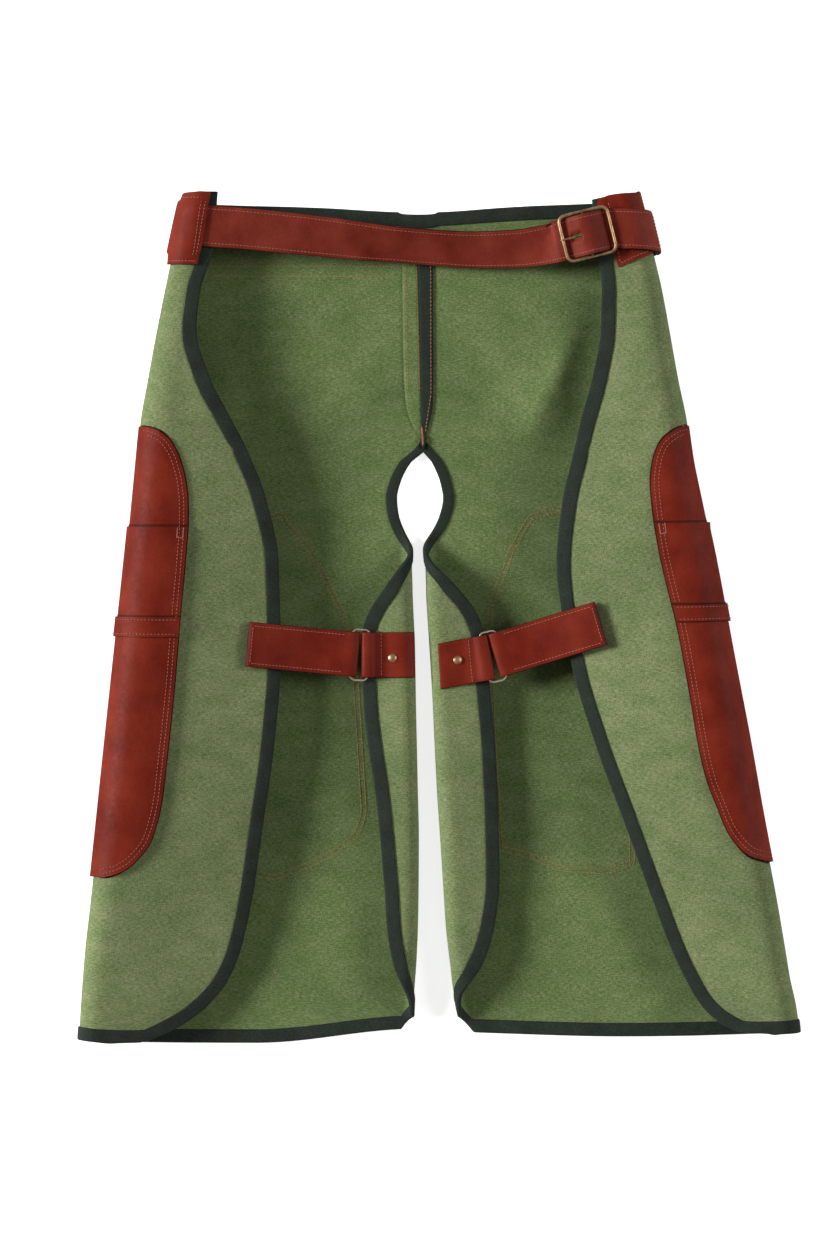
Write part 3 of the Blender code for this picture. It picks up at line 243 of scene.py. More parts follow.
MOUTH_SHADE_LIFTS = (-0.1, 0.15)              # from the face of the layer beneath
POCKET_ROWS = (3.4, 7.2)                # rows of thread inside the edge
ROWS_FROM_FOLD = 2.0                    # they keep this far from the fold's silhouette
BAND_ROW = 2.6                          # rows of thread inside the band's top and bottom
BAND_ROW_START = 3.2                    # which start this far in from the edge
BAND_ROW_END = FOLD_SIDE + 2            # and end at this column
TACK_INSETS = (3.8, 9.0)
TACK_SPAN = (1.2, 10.5)                 # down from the front's top

# The belt loop on the left hip: lift of its middle from the cloth's, and reach of its free edge.
HIP_LOOP_COLUMNS = ("y", "lift", "edge")
HIP_LOOP = (
    (378.6, 3.5, 206.0),
    (375.5, 3.5, 207.0),
    (372.0, 6.4, 208.0),
    (326.5, 6.4, 216.0),
    (323.0, 3.5, 216.8),
    (316.0, 3.5, 217.8),
)
HIP_LOOP_SIDE = 6.6         # the column of its other edge
HIP_LOOP_CLIP = (0.4, 0.1)  # what its top corner loses, in columns and rows
HIP_LOOP_ROWS = (3.2, 6.0)  # rows of thread inside its free edge
HIP_LOOP_ENDS = (2.5, 3.0)  # how far inside its top and foot these end, and the cross rows lie
HIP_LOOP_CROSS = 6.2        # the column where a cross row ends
# The patch on the right hip: its top's columns, the column of its side with y down it, then (out, y).
HIP_PATCH_TOP = (0.45, 1.0, 2.0, 3.0, 4.0, 5.0, 6.0, 6.8)
HIP_PATCH_SIDE = (6.8, (372.0, 352.0, 332.0))
HIP_PATCH = ((189.0, 325.5), (161.0, 314.0), (153.5, 345.0), (150.5, 366.0), (141.5, 369.0))
HIP_PATCH_DOWN = 1.5        # at this column it has come down from the bound edge
HIP_PATCH_ROW = ((152.0, 372.0), (163.0, 317.5), (186.0, 328.0))

# The belt across the opening: middle line, height, and how far the hem side tips down (degrees).
BELT_COLUMNS = ("x", "y", "z", "tip")
BELT_ACROSS = (
    (-199.0, 350.2, 38.0, 1.0),
    (-186.0, 349.4, 38.2, 3.0),
    (-165.0, 347.7, 36.6, 6.0),
    (-125.5, 343.8, 33.6, 10.0),
    (-98.5, 341.1, 30.5, 17.0),
    (-67.0, 337.5, 27.5, 25.0),
    (-35.5, 334.5, 25.0, 33.0),
    (-1.4, 331.8, 23.8, 33.0),
    (33.0, 330.0, 24.6, 31.0),
    (68.0, 330.8, 28.5, 26.0),
    (88.0, 333.0, 32.5, 19.0),
    (102.0, 335.6, 36.6, 12.0),
)
BELT_LIFT = 3.8          # belt's middle above the cloth's, over the bound edges
TAB_LIFT = 4.4           # and over the right tab
TAIL_LIFT = 7.1          # the belt's tail, over its first layer
BELT_LEFT = {"top": (370.3, 362.0), "bottom": (332.6, 324.4)}     # y on the flap and beneath
BELT_RIGHT = {"top": (367.0, 359.0), "bottom": (330.0, 321.4)}
BELT_TURN = (11,) + tuple(10 - k / 2 for k in range(14)) + (3.0,)     # columns round a hip
BELT_LEFT_END = (2.0, 1.0)                                     # its last columns on the left flap
TAIL_COLUMNS = tuple(3 + k / 2 for k in range(11))             # columns of the tail on the right flap
BELT_ROWS = (0.09, 0.91)                # rows of thread, as shares of the width
FIRST_SEWN = 12                         # their first station, past the buckle's bar
SPARE_HOLE, SPARE_DEPTH = 1.7, 2.4      # radius, and how far its punch reaches to each side
SPARE_HOLES = ((-50.0, 0.5, -9.0), (28.0, 1.5, -5.5))          # (u, v, n) from the buckle's middle

# The buckle, in its own frame: u along the belt, n away from the cloth.
BUCKLE_PLACE = (132.7, 343.4, 44.5)
BUCKLE_TURN = 14.0
BAR_SPACING = 45.0
BUCKLE_HEIGHT = 44.4
BUCKLE_WIRE = 1.5
BUCKLE_CORNER = 6.0
BAR_INSET = 0.6
PRONG_WIRE = 1.0
PRONG_TIP = (0.87, 0.74, 0.61, 0.48)    # its last few sections, as shares of its wire
# Middle of each layer as (u, n): the tail through the frame, and the inner end round its bar.
TAIL_THROUGH = ((-31.0, -5.2), (-22.5, -3.2), (-17.0, -2.9), (-13.5, -1.2), (-9.0, 1.9),
                (-5.0, 4.6), (0.0, 5.5), (6.0, 4.3), (12.6, 0.2), (17.0, -2.9), (22.5, -3.2))
INNER_END = ((14.0, -8.2), (7.0, -5.4), (0.0, -3.0), (-2.1, -2.1), (-3.0, 0.0), (-2.1, 2.1), (0.0, 3.0),
             (4.0, 1.9), (10.0, -2.6), (16.0, -5.6), (22.5, -5.8))
PRONG_PATH = ((-1.2, -2.6), (1.6, -2.4), (2.9, 0.0), (1.6, 2.4), (-1.2, 2.75), (-4.6, 2.3), (-10.0, 1.7),
              (-17.0, 2.3), (-24.8, 2.9))
SLOT = ((-5.2, 6.6), 2.1, (-4.6, 4.15))      # through the inner end: span of u, half width, span of n
PRONG_HOLE = ((-14.6, -4.2), 1.9, (-7.0, 7.0))

# Each leg's strap, ring and ring tab meet at a ring; u runs from the ring to the outer flap.
STRAP = 2.0
STRAP_WIDTH = 40.5
TAB_WIDTH = 41.0
HOOKS = 1.6
HOOKS_WIDTH = 35.0
RING_WIRE = 1.3
DRAWN_RING_WIRE = 1.05     # a little thinner than the room left for it
RING_LENGTH = 18.0
RING_HEIGHT = 48.0
RING_CORNER = 4.5
RING_PLACE = {"left": (-71.6, -34.6, 28.6), "right": (47.9, -36.0, 28.6)}
STRAP_TURN = {"left": 174.5, "right": 17.0}
RING_TURN = {"left": 176.5, "right": 13.0}
TAB_TURN = {"left": 180.0, "right": 10.5}
BAR = RING_LENGTH / 2 - RING_WIRE
ROUND_BAR = RING_WIRE + GAP + STRAP / 2
LOOP_SLACK = 2.9         # the straps' loops reach this much past a bar, which lies at a slight angle
ON_FLAP = (77.0, 80.0, 84.0, 88.0, 92.0, 97.0, 102.5)     # u of its stations on the outer flap
NEAR_RING = 15.0                  # u where its layers have closed up on the hook tape
LAYER_LIFTS = (3.8, 5.9, 8.0)     # lower layer, hook tape and upper layer over the bound edge
# The ring tab on the inner flap: (column, lift) of its first stations, the lift of the rest, its end.
TAB_STATIONS = ((22.15, 6.4), (21.7, 4.5), (21.3, 2.5), (21.0, 2.3))
TAB_LEVEL = 2.3
TAB_END = {"left": 18.35, "right": 19.35}
TAB_RETURN = (22.15, 3.9)
RIVET_PLACE = {"left": (41.9, -37.4), "right": (15.8, -39.2)}
RIVET_LIFT = 3.7
RIVET_RADIUS = 4.0
RIVET_HEIGHT = 1.7
RIVET_SIDES = 28
RIVET_PROFILE = ((0.86, -0.05), (0.98, 0.05), (1.0, 0.18), (0.95, 0.32), (0.86, 0.42), (0.72, 0.66),
                 (0.52, 0.85), (0.28, 0.96), (0.08, 1.0))      # (reach, rise)
STRAP_ROWS = (0.085, 0.915)                   # rows of thread, as shares of the strap's width
TAB_SEAM = {"left": -55.0, "right": 33.0}     # x of the stitching beside the ring
# Half of a strap's section: share of its width, and how full it is there.
STRAP_PROFILE = ((0.0, 0.35), (0.012, 0.72), (0.035, 0.93), (0.075, 1.0), (0.12, 0.97), (0.3, 1.0),
                 (0.5, 1.0))

# A stitch along its length: (share, rise, fatness), and its sides.
STITCH = ((-0.5, -0.35, 0.5), (-0.25, 0.1, 0.95), (0.25, 0.1, 0.95), (0.5, -0.35, 0.5))
STITCH_SIDES = 6
THREAD_LIFT = 0.1        # thread's middle over cloth and pockets
STRAP_THREAD_LIFT = 0.12
TACK_LIFT = 0.15         # over the seam, and a tack over a pocket
WIRE_SIDES = 14
CORNER_STEPS = 8         # round a corner of a patch or a ring
PUNCH_SIDES = 20
RUN_STEP = 5.0           # between the belt's stations over the opening

ORIGIN = Vector((-0.3, -0.63, 0.0))      # below the middle of the whole, in the tables' millimetres

# How finely the cloth is drawn: cells in each of the solid's cells.
ROW_STEP = 5.0
COLUMN_CELLS = (3, 7, 7, 7, 2, 2, 2, 2, 2, 2, 6, 7, 9, 9, 9, 2, 2, 2, 2, 2, 3, 4, 3)

# Soft ridges in the laid cloth: the two ends (x, y), half width and height; below zero a trough.
DEEPEST_TROUGH = 0.3
CREASE_PAST, CREASE_FADE = 0.3, 0.5     # how far past its ends a ridge goes, and fades, in lengths
PANEL_EASE, FLAP_EASE = 1.2, 2.5        # columns over which the ridges set in
PANEL_CREASES = (
    (146, 298, 86, 178, 8, 1.8),
    (149, 300, 88, 172, 26, 8.0),
    (92, 330, 60, 150, 22, 1.2),
    (-1, 159, 52, 163, 7, 1.6),
    (-26, 170, -90, 230, 16, 1.5),
    (-120, 330, -95, 120, 24, 1.8),
    (-190, 310, -150, 190, 14, 1.6),
    (-168, -255, -132, -246, 8, 1.8),
    (-150, -150, -70, -190, 20, 1.6),
    (-90, -60, -60, -200, 18, 1.2),
    (-140, 60, -80, 20, 22, 1.6),
    (58, -228, 100, -292, 12, 1.9),
    (145, -255, 190, -310, 18, 1.9),
    (90, 40, 150, -40, 24, 1.7),
    (70, -120, 150, -170, 20, 1.4),
    (-60, -330, -200, -345, 14, 1.0),
    (60, -335, 200, -345, 16, 1.0),
)
FLAP_CREASES = (
    (-212, 290, -206, 180, 10, 0.9),
    (-262, 60, -210, 20, 22, -0.8),
    (-268, -120, -190, -160, 26, 0.9),
    (-300, -250, -215, -300, 22, -0.9),
    (-290, -330, -240, -345, 12, 0.8),
    (196, 250, 160, 170, 18, 0.9),
    (225, 40, 150, 10, 24, -0.8),
    (262, -120, 190, -150, 24, 0.9),
    (300, -260, 240, -300, 20, -0.8),
    (306, -330, 262, -350, 12, 0.8),
)

STRIP_EVEN = 12.0        # the bound strip's width is evened over this far along the edge
LOWEST_BEND, HIGHEST_BEND = -384.0, 384.0
TAPE_ROUND = 1.5         # the tape's fold stands this far out of the cloth's edge
TAPE_SHARES = (0.0, 0.04, 0.12, 0.5, 0.9)      # where its section has points, from its hem outwards
TAPE_INSIDE = 0.12       # the tape's inner face stands this far off the cloth
TAPE_HEM, TAPE_HEM_END = 0.55, 0.1      # how full its hem is, and the share where it is whole
TAPE_DIP = 0.1                          # depth of the dip that its seam makes
TAPE_DIP_AT, TAPE_DIP_WIDTH = 0.12, 1 / 12
CUT_EDGE = 0.3, 0.92     # the tape passes the cloth's cut edge this far out and to each side

VIEW_CENTRE = (-21.15, -6.75, 25.0)
VIEW_HEIGHT = 1123.2     # what the camera sees from top to bottom
CAMERA_DISTANCE = 8000.0
SENSOR = 36.0
FLOOR_Z, FLOOR_SIZE = -0.0008, 6.0
FLOOR_COLOUR = (0.93, 0.93, 0.93, 1.0)
FLOOR_GLOW = 0.78         # its own light, seen by the camera alone
SKY = 0.11                # strength of the even light
SKY_IN_METAL = 0.45       # and how bright it is in reflections
LAMP_DISTANCE = 3.0
# Each lamp: the way to it, its share of the light on the floor, its softness in degrees.
LAMPS = (
    ("left_lamp", (-0.91, 0.12, 0.41), 0.60, 20.0),
    ("right_lamp", (0.86, 0.14, 0.49), 0.25, 28.0),
)


# Curves and marks -------------------------------------------------------------------------------

def soft(t):
    """0 below 0, 1 above 1, and a smooth step between."""
    t = min(max(t, 0.0), 1.0)
    return t * t * (3 - 2 * t)


def cubic(start, end, slope_in, slope_out, width, t):
    """A smooth step from start to end with given slopes; t runs from 0 to 1 over the width."""
    return (start * (1 + 2 * t) * (1 - t) ** 2 + end * t * t * (3 - 2 * t)
            + slope_in * width * t * (1 - t) ** 2 - slope_out * width * t * t * (1 - t))


def curve_value(rows, columns, name, at):
    """The named column at a place in the first column, on a smooth curve that never overshoots."""
    k = columns.index(name)
    rows = sorted(rows)
    xs = [row[0] for row in rows]
    ys = [row[k] for row in rows]
    at = min(max(at, xs[0]), xs[-1])
    i = min(bisect_right(xs, at), len(xs) - 1) - 1
    rises = [(ys[j + 1] - ys[j]) / (xs[j + 1] - xs[j]) for j in range(len(xs) - 1)]

    def slope(j):
        if j == 0 or j == len(xs) - 1:
            return rises[min(j, len(rises) - 1)]
        a, b = rises[j - 1], rises[j]
        return 0.0 if a * b <= 0 else 2 * a * b / (a + b)

    width = xs[i + 1] - xs[i]
    return cubic(ys[i], ys[i + 1], slope(i), slope(i + 1), width, (at - xs[i]) / width)


def evenly(first, last, count):
    """Even values from first to last, both included."""
    return [first + (last - first) * k / count for k in range(count + 1)]


def places_between(first, last, count):
    """Even places on the straight line between two, both ends included."""
    return list(zip(*(evenly(a, b, count) for a, b in zip(first, last))))


def mixed(values, place):
    """A value between the entries of a list, at a fractional index."""
    k = min(int(place), len(values) - 2)
    return values[k] + (values[k + 1] - values[k]) * (place - k)


def fine_marks(cells):
    """Fractional indices that split each of the solid's cells into this many."""
    marks = []
    for k, count in enumerate(cells):
        marks += [k + i / count for i in range(count)]
    return marks + [float(len(cells))]


def crease_height(creases, x, y):
    """Sum of the soft ridges at a place, each fading towards its ends."""
    total = 0.0
    for x1, y1, x2, y2, width, height in creases:
        along_x, along_y = x2 - x1, y2 - y1
        length = hypot(along_x, along_y)
        t = ((x - x1) * along_x + (y - y1) * along_y) / length ** 2
        away = ((x - x1) * along_y - (y - y1) * along_x) / length
        fade = soft((t + CREASE_PAST) / CREASE_FADE) * soft((1 + CREASE_PAST - t) / CREASE_FADE)
        total += height * fade * exp(-(away / width) ** 2)
    return total


# The cloth's form -------------------------------------------------------------------------------

def outer(name, y):
    return curve_value(OUTER, OUTER_COLUMNS, name, y)


def inner(name, y):
    return curve_value(INNER, INNER_COLUMNS, name, y)


def seam_x(y):
    """The middle of the legs' seam, which leans a little."""
    return SEAM_APEX + (SEAM_TOP - SEAM_APEX) * (y - APEX_Y) / (WAIST_SEAM_Y - APEX_Y)


class Bend:
    """The cloth's path past the line where it leaves the panel: a fold, then a flap."""

    def __init__(self, foot, height, radius, way):
        self.foot = foot
        self.height = height
        self.radius = radius
        self.way = way                       # +1 outwards, -1 inwards
        self.turn = radius * (pi + FLAP_DROOP)

    def point(self, length):
        """(out, z) after a length of cloth past the foot of the fold; below zero, on the panel."""
        if length <= 0:
            return self.foot + self.way * length, self.height
        angle = min(length / self.radius, pi + FLAP_DROOP)
        out = self.radius * sin(angle)
        z = self.radius * (1 - cos(angle))
        if length > self.turn:
            end = FLAP_DROOP + (length - self.turn) / FLAP_CURL
            out -= FLAP_CURL * (sin(end) - sin(FLAP_DROOP))
            z -= FLAP_CURL * (cos(FLAP_DROOP) - cos(end))
        return self.foot + self.way * out, self.height + z

    def length_to(self, out):
        """The length of cloth at which the flap reaches back to this distance."""
        back = (self.radius * sin(pi + FLAP_DROOP)) - (out - self.foot) * self.way
        end = asin(back / FLAP_CURL + sin(FLAP_DROOP))
        return self.turn + FLAP_CURL * (end - FLAP_DROOP)


def outer_bend(leg, y):
    """The outer fold and its flap in a section."""
    radius = outer("radius", y)
    foot = outer(leg + "_fold", y) - HALF - radius
    return Bend(foot, outer("base", y), radius, 1)


def inner_bend(leg, y):
    """The inner fold and its flap in a section."""
    radius = inner("radius", y)
    foot = inner(leg + "_fold", y) + HALF + radius
    return Bend(foot, outer("rest", y), radius, -1)


def outer_reach(leg, y):
    """Length of cloth from the outer fold's foot to its cut edge."""
    return outer_bend(leg, y).length_to(outer(leg + "_edge", y) + SETBACK)


def inner_reach(leg, y):
    """Length of cloth from the inner fold's foot to its cut edge, or to the legs' seam."""
    if y >= APEX_Y:
        seam_out = SIDES[leg] * seam_x(y) + GAP / 2
        return inner_bend(leg, y).foot - seam_out
    return inner(leg + "_reach", y) - SETBACK


def strip(reach, bend, leg, y):
    """Width of the bound strip along a row, wider where the edge runs aslant."""
    step = 2.0
    slant = (reach(leg, y + step) - reach(leg, y - step)) / (2 * step)
    if abs(y - APEX_Y) < 2 * step:
        slant = 0.0
    past_turn = max(0.0, reach(leg, y) - bend.turn)
    return min(TAPE_WIDTH * hypot(1, slant), WIDEST_STRIP, past_turn + STRIP_BEND * bend.radius)


def row_y(leg, row, column):
    """The y of a mesh row where it crosses a column."""
    waist = curve_value(ACROSS, ACROSS_COLUMNS, leg + "_waist", column) - SETBACK
    hem = curve_value(ACROSS, ACROSS_COLUMNS, leg + "_hem", column) + SETBACK
    if row < WAIST_ROWS:
        return waist - TAPE_WIDTH * row
    if row >= HEM_ROW - 1:
        return hem + TAPE_WIDTH * (HEM_ROW - row)
    line = ROW_LINES[row - WAIST_ROWS]
    if line >= STRAIGHT_ABOVE:
        return line
    share = (line - STRAIGHT_ABOVE) / (LOWEST_LINE - STRAIGHT_ABOVE)
    return STRAIGHT_ABOVE + share * (hem - STRAIGHT_ABOVE)


def even_strip(reach, bend, leg, y):
    """The bound strip's width, evened along the edge except round the opening's point."""
    reach_of_even = min(STRIP_EVEN, max(abs(y - APEX_Y) - 4.0, 0.0))
    places = [min(max(y + reach_of_even * k / 3, LOWEST_BEND), HIGHEST_BEND) for k in range(-3, 4)]
    return sum(strip(reach, bend(leg, place), leg, place) for place in places) / len(places)


class Section:
    """A cut straight across a leg: gives (out, z) at any fractional column."""

    def __init__(self, leg, y):
        self.bend = outer_bend(leg, y)
        reach = outer_reach(leg, y)
        covered = reach - even_strip(outer_reach, outer_bend, leg, y)
        top = min(self.bend.turn, covered - FLAP_ROOM)
        flap, fold = evenly(covered, top, FOLD_TOP - 1), evenly(top, 0.0, FOLD_FOOT - FOLD_TOP)
        self.outer = [reach] + flap[:-1] + fold
        self.turn = inner_bend(leg, y)
        reach = inner_reach(leg, y)
        covered = reach - even_strip(inner_reach, inner_bend, leg, y)
        foot = min(0.0, covered - FOOT_ROOM)
        top = min(self.turn.turn, covered - TURN_ROOM)
        self.inner = evenly(foot, top, TURN_TOP - TURN_FOOT) + [(top + covered) / 2, covered, reach]
        self.rest = outer("rest", y)
        self.panel = [self.bend.foot, self.bend.foot - FOOT_WIDTH]
        self.panel += evenly(self.bend.foot - SLOPE_WIDTH, self.turn.foot - foot, 3)

    def point(self, column):
        if column <= FOLD_FOOT:
            return self.bend.point(mixed(self.outer, column))
        if column >= TURN_FOOT:
            return self.turn.point(mixed(self.inner, column - TURN_FOOT))
        out = mixed(self.panel, column - FOLD_FOOT)
        drop = soft(column - FOLD_FOOT - 1)
        return out, self.bend.height + (self.rest - self.bend.height) * drop


SECTIONS = {}


def section_at(leg, y):
    """The section there, made only once."""
    key = (leg, round(y, 3))
    if key not in SECTIONS:
        SECTIONS[key] = Section(leg, y)
    return SECTIONS[key]


class Sheet:
    """The middle surface of a leg's cloth, finely: addressed by the solid's rows and columns."""

    def __init__(self, leg):
        self.leg = leg
        self.side = SIDES[leg]
        self.columns = fine_marks(COLUMN_CELLS)
        cells = []
        for row in range(ROWS - 1):
            rise = row_y(leg, row, MIDDLE) - row_y(leg, row + 1, MIDDLE)
            cells.append(max(2, round(rise / ROW_STEP)))
        self.rows = fine_marks(cells)
        self.points = [[self.place(row, column) for column in self.columns] for row in self.rows]
        self.normals = self.all_normals()
        self.ease()
        self.normals = self.all_normals()

    def line_y(self, row, column):
        """The y of a fractional row where it crosses a column."""
        k = min(int(row), ROWS - 2)
        above, below = row_y(self.leg, k, column), row_y(self.leg, k + 1, column)
        return above + (below - above) * (row - k)

    def place(self, row, column):
        y = self.line_y(row, column)
        out, z = section_at(self.leg, y).point(column)
        return Vector((self.side * out, y, z))

    def all_normals(self):
        """They point to the garment's outside: down from the panels, up from the flaps."""
        found = []
        last_row, last_column = len(self.rows) - 1, len(self.columns) - 1
        for r in range(last_row + 1):
            line = []
            for c in range(last_column + 1):
                across = self.points[r][min(c + 1, last_column)] - self.points[r][max(c - 1, 0)]
                along = self.points[max(r - 1, 0)][c] - self.points[min(r + 1, last_row)][c]
                line.append(across.cross(along).normalized() * self.side)
            found.append(line)
        return found

    def ease(self):
        """Raise the soft ridges of cloth that has been folded and used."""
        for r, line in enumerate(self.points):
            for c, (column, point) in enumerate(zip(self.columns, line)):
                if column > ON_PANEL[0]:
                    share = soft((column - ON_PANEL[0]) / PANEL_EASE)
                    share *= soft((TURN_FOOT + 0.2 - column) / PANEL_EASE)
                    rise = crease_height(PANEL_CREASES, point.x, point.y) * share
                    line[c] = point - self.normals[r][c] * max(rise, -DEEPEST_TROUGH)
                elif column < ON_FLAP_COLUMNS[1]:
                    share = soft((ON_FLAP_COLUMNS[1] - column) / FLAP_EASE)
                    rise = crease_height(FLAP_CREASES, point.x, point.y) * share
                    line[c] = point + self.normals[r][c] * rise

    def at(self, row, column, lift=0.0):
        """A point at a fractional row and column, moved out of the garment by lift."""
        r = min(max(bisect_right(self.rows, row) - 1, 0), len(self.rows) - 2)
        c = min(max(bisect_right(self.columns, column) - 1, 0), len(self.columns) - 2)
        s = (row - self.rows[r]) / (self.rows[r + 1] - self.rows[r])
        t = (column - self.columns[c]) / (self.columns[c + 1] - self.columns[c])

        def blend(grid):
            above = grid[r][c].lerp(grid[r][c + 1], t)
            below = grid[r + 1][c].lerp(grid[r + 1][c + 1], t)
            return above.lerp(below, s)

        return blend(self.points) + blend(self.normals).normalized() * lift

    def normal_at(self, row, column):
        return (self.at(row, column, 1.0) - self.at(row, column)).normalized()

    def edge_of(self, row, column, lift, thickness):
        """The (low, high) edge of a strap whose middle lies at this lift."""
        return [self.at(row, column, lift + way * thickness / 2) for way in (-1, 1)]

    def row_at(self, column, y):
        """The fractional row at which a column reaches this y."""
        low, high = 0, len(self.rows) - 1
        while high - low > 1:
            middle = (low + high) // 2
            if self.at(self.rows[middle], column).y >= y:
                low = middle
            else:
                high = middle
        above, below = self.at(self.rows[low], column).y, self.at(self.rows[high], column).y
        share = min(max((above - y) / (above - below), 0.0), 1.0)
        return self.rows[low] + (self.rows[high] - self.rows[low]) * share

    def find(self, first, last, out, y):
        """(row, column) between two columns where the cloth lies at this distance out."""
        before = None
        for column in evenly(first, last, max(1, round(abs(last - first) * 6))):
            row = self.row_at(column, y)
            here = self.at(row, column).x * self.side - out
            if before is not None and before[1] * here <= 0:
                share = before[1] / (before[1] - here) if here != before[1] else 0.0
                found = before[0] + (column - before[0]) * share
                return self.row_at(found, y), found
            before = (column, here)
        raise ValueError("no cloth at this distance")


# Shapes -----------------------------------------------------------------------------------------

def body(name, points, faces, looks=()):
    """A plain object from points in millimetres."""
    mesh = bpy.data.meshes.new(name)
    mesh.from_pydata([(Vector(point) - ORIGIN) * MM for point in points], [], faces)
    for look in looks:
        mesh.materials.append(look)
    made = bpy.data.objects.new(name, mesh)
    bpy.context.collection.objects.link(made)
    return made


def wear(piece):
    """The piece rides with the apron."""
    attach(piece, "root")
    return piece


def add_piece(name, points, faces, looks, places=None, look_of=None):
    """A closed, smooth piece; places are its (u, v), and look_of gives each face's look."""
    piece = body(name, points, faces, looks)
    mesh = piece.data
    if look_of:
        mesh.polygons.foreach_set("material_index", look_of)
    if places:
        layer = mesh.uv_layers.new(name="cloth")
        for loop in mesh.loops:
            layer.data[loop.index].uv = places[loop.vertex_index]
    shape = bmesh.new()
    shape.from_mesh(mesh)
    bmesh.ops.remove_doubles(shape, verts=shape.verts, dist=1e-6)
    bmesh.ops.recalc_face_normals(shape, faces=shape.faces)
    shape.to_mesh(mesh)
    shape.free()
    mesh.shade_smooth()
    return wear(piece)


def grid_faces(lines, across):
    """Faces between the points of a grid, line by line."""
    return [[r * across + c, r * across + c + 1, (r + 1) * across + c + 1, (r + 1) * across + c]
            for r in range(lines - 1) for c in range(across - 1)]


def thick(faces, count):
    """Faces, the same faces on a second layer of points, and walls between their outer edges."""
    sides = {(a, b) for face in faces for a, b in zip(face, face[1:] + face[:1])}
    walls = [[a, b, b + count, a + count] for face in faces for a, b in zip(face, face[1:] + face[:1])
             if (b, a) not in sides]
    return [list(face) for face in faces] + [[k + count for k in reversed(face)] for face in faces] + walls


def cut_looks(faces, shell):
    """The first look for both faces of a flat piece, the second for its cut edges."""
    return [0] * (2 * len(faces)) + [1] * (len(shell) - 2 * len(faces))


def rings(count, size, closed=False):
    """Faces between a row of equal loops of points, with the ends filled."""
    faces = []
    for k in range(count if closed else count - 1):
        a, b = k * size, ((k + 1) % count) * size
        faces += [[a + i, a + (i + 1) % size, b + (i + 1) % size, b + i] for i in range(size)]
    if not closed:
        faces += [list(range(size))[::-1], [k + (count - 1) * size for k in range(size)]]
    return faces


def sweep(name, loops, looks, closed=False, look_of=None):
    """A body through a row of equal loops of points."""
    points = [point for loop in loops for point in loop]
    return add_piece(name, points, rings(len(loops), len(loops[0]), closed), looks, look_of=look_of)


def circle(centre, across, up, radius, sides):
    """Points round a circle in the plane of two directions."""
    turns = [2 * pi * i / sides for i in range(sides)]
    return [centre + (across * cos(turn) + up * sin(turn)) * radius for turn in turns]


def soften_rim(piece, width):
    """Round the cut edges of a flat piece; its last look is for them."""
    bevel = piece.modifiers.new("rim", "BEVEL")
    bevel.width = width * MM
    bevel.material = len(piece.data.materials) - 1
    bevel.segments = 2
    bevel.limit_method = "ANGLE"
    bevel.angle_limit = radians(50)
    normals = piece.modifiers.new("normals", "WEIGHTED_NORMAL")
    normals.keep_sharp = True


def cut_pattern(outline, columns, rows):
    """A flat outline in (column, row), cut along lines of the cloth."""
    flat = bmesh.new()
    flat.faces.new([flat.verts.new((column, row, 0)) for column, row in outline])
    for k, lines in ((0, columns), (1, rows)):
        axis = Vector((1 - k, k, 0))
        low, high = min(place[k] for place in outline), max(place[k] for place in outline)
        for line in lines:
            if low + 1e-3 < line < high - 1e-3:
                bmesh.ops.bisect_plane(flat, geom=flat.verts[:] + flat.edges[:] + flat.faces[:],
                                       dist=1e-5, plane_co=axis * line, plane_no=axis)
    flat.verts.index_update()
    places = [(corner.co.x, corner.co.y) for corner in flat.verts]
    faces = [[corner.index for corner in face.verts] for face in flat.faces]
    flat.free()
    return places, faces


def overlay(name, sheet, outline, lifts, looks, every=1, rim=LEATHER_RIM):
    """Leather on a leg's cloth between two lifts, cut along every so many of the cloth's lines.

    A lift may be a function of (column, row).
    """
    places, faces = cut_pattern(outline, sheet.columns[1:-1:every], sheet.rows[1:-1:every])
    points = []
    for lift in lifts:
        for column, row in places:
            points.append(sheet.at(row, column, lift(column, row) if callable(lift) else lift))
    shell = thick(faces, len(places))
    look_of = cut_looks(faces, shell) if len(looks) > 1 else None
    piece = add_piece(name, points, shell, looks, look_of=look_of)
    soften_rim(piece, rim)
    return piece


def slab(name, outline, low, high, looks):
    """Flat leather between two heights."""
    points = [(x, y, z) for z in (low, high) for x, y in outline]
    face = [list(range(len(outline)))]
    shell = thick(face, len(outline))
    piece = add_piece(name, points, shell, looks, look_of=cut_looks(face, shell))
    soften_rim(piece, LEATHER_RIM)
    return piece


# Looks ------------------------------------------------------------------------------------------

class Nodes:
    """Short calls for building a node tree."""

    def __init__(self, tree):
        self.tree = tree

    def feed(self, node, inputs):
        """Set a node's inputs to plain values, or link them to sockets."""
        for key, value in inputs.items():
            if isinstance(value, bpy.types.NodeSocket):
                self.tree.links.new(value, node.inputs[key])
            else:
                node.inputs[key].default_value = value

    def add(self, kind, inputs=None, **settings):
        node = self.tree.nodes.new(kind)
        for key, value in settings.items():
            setattr(node, key, value)
        self.feed(node, inputs or {})
        return node


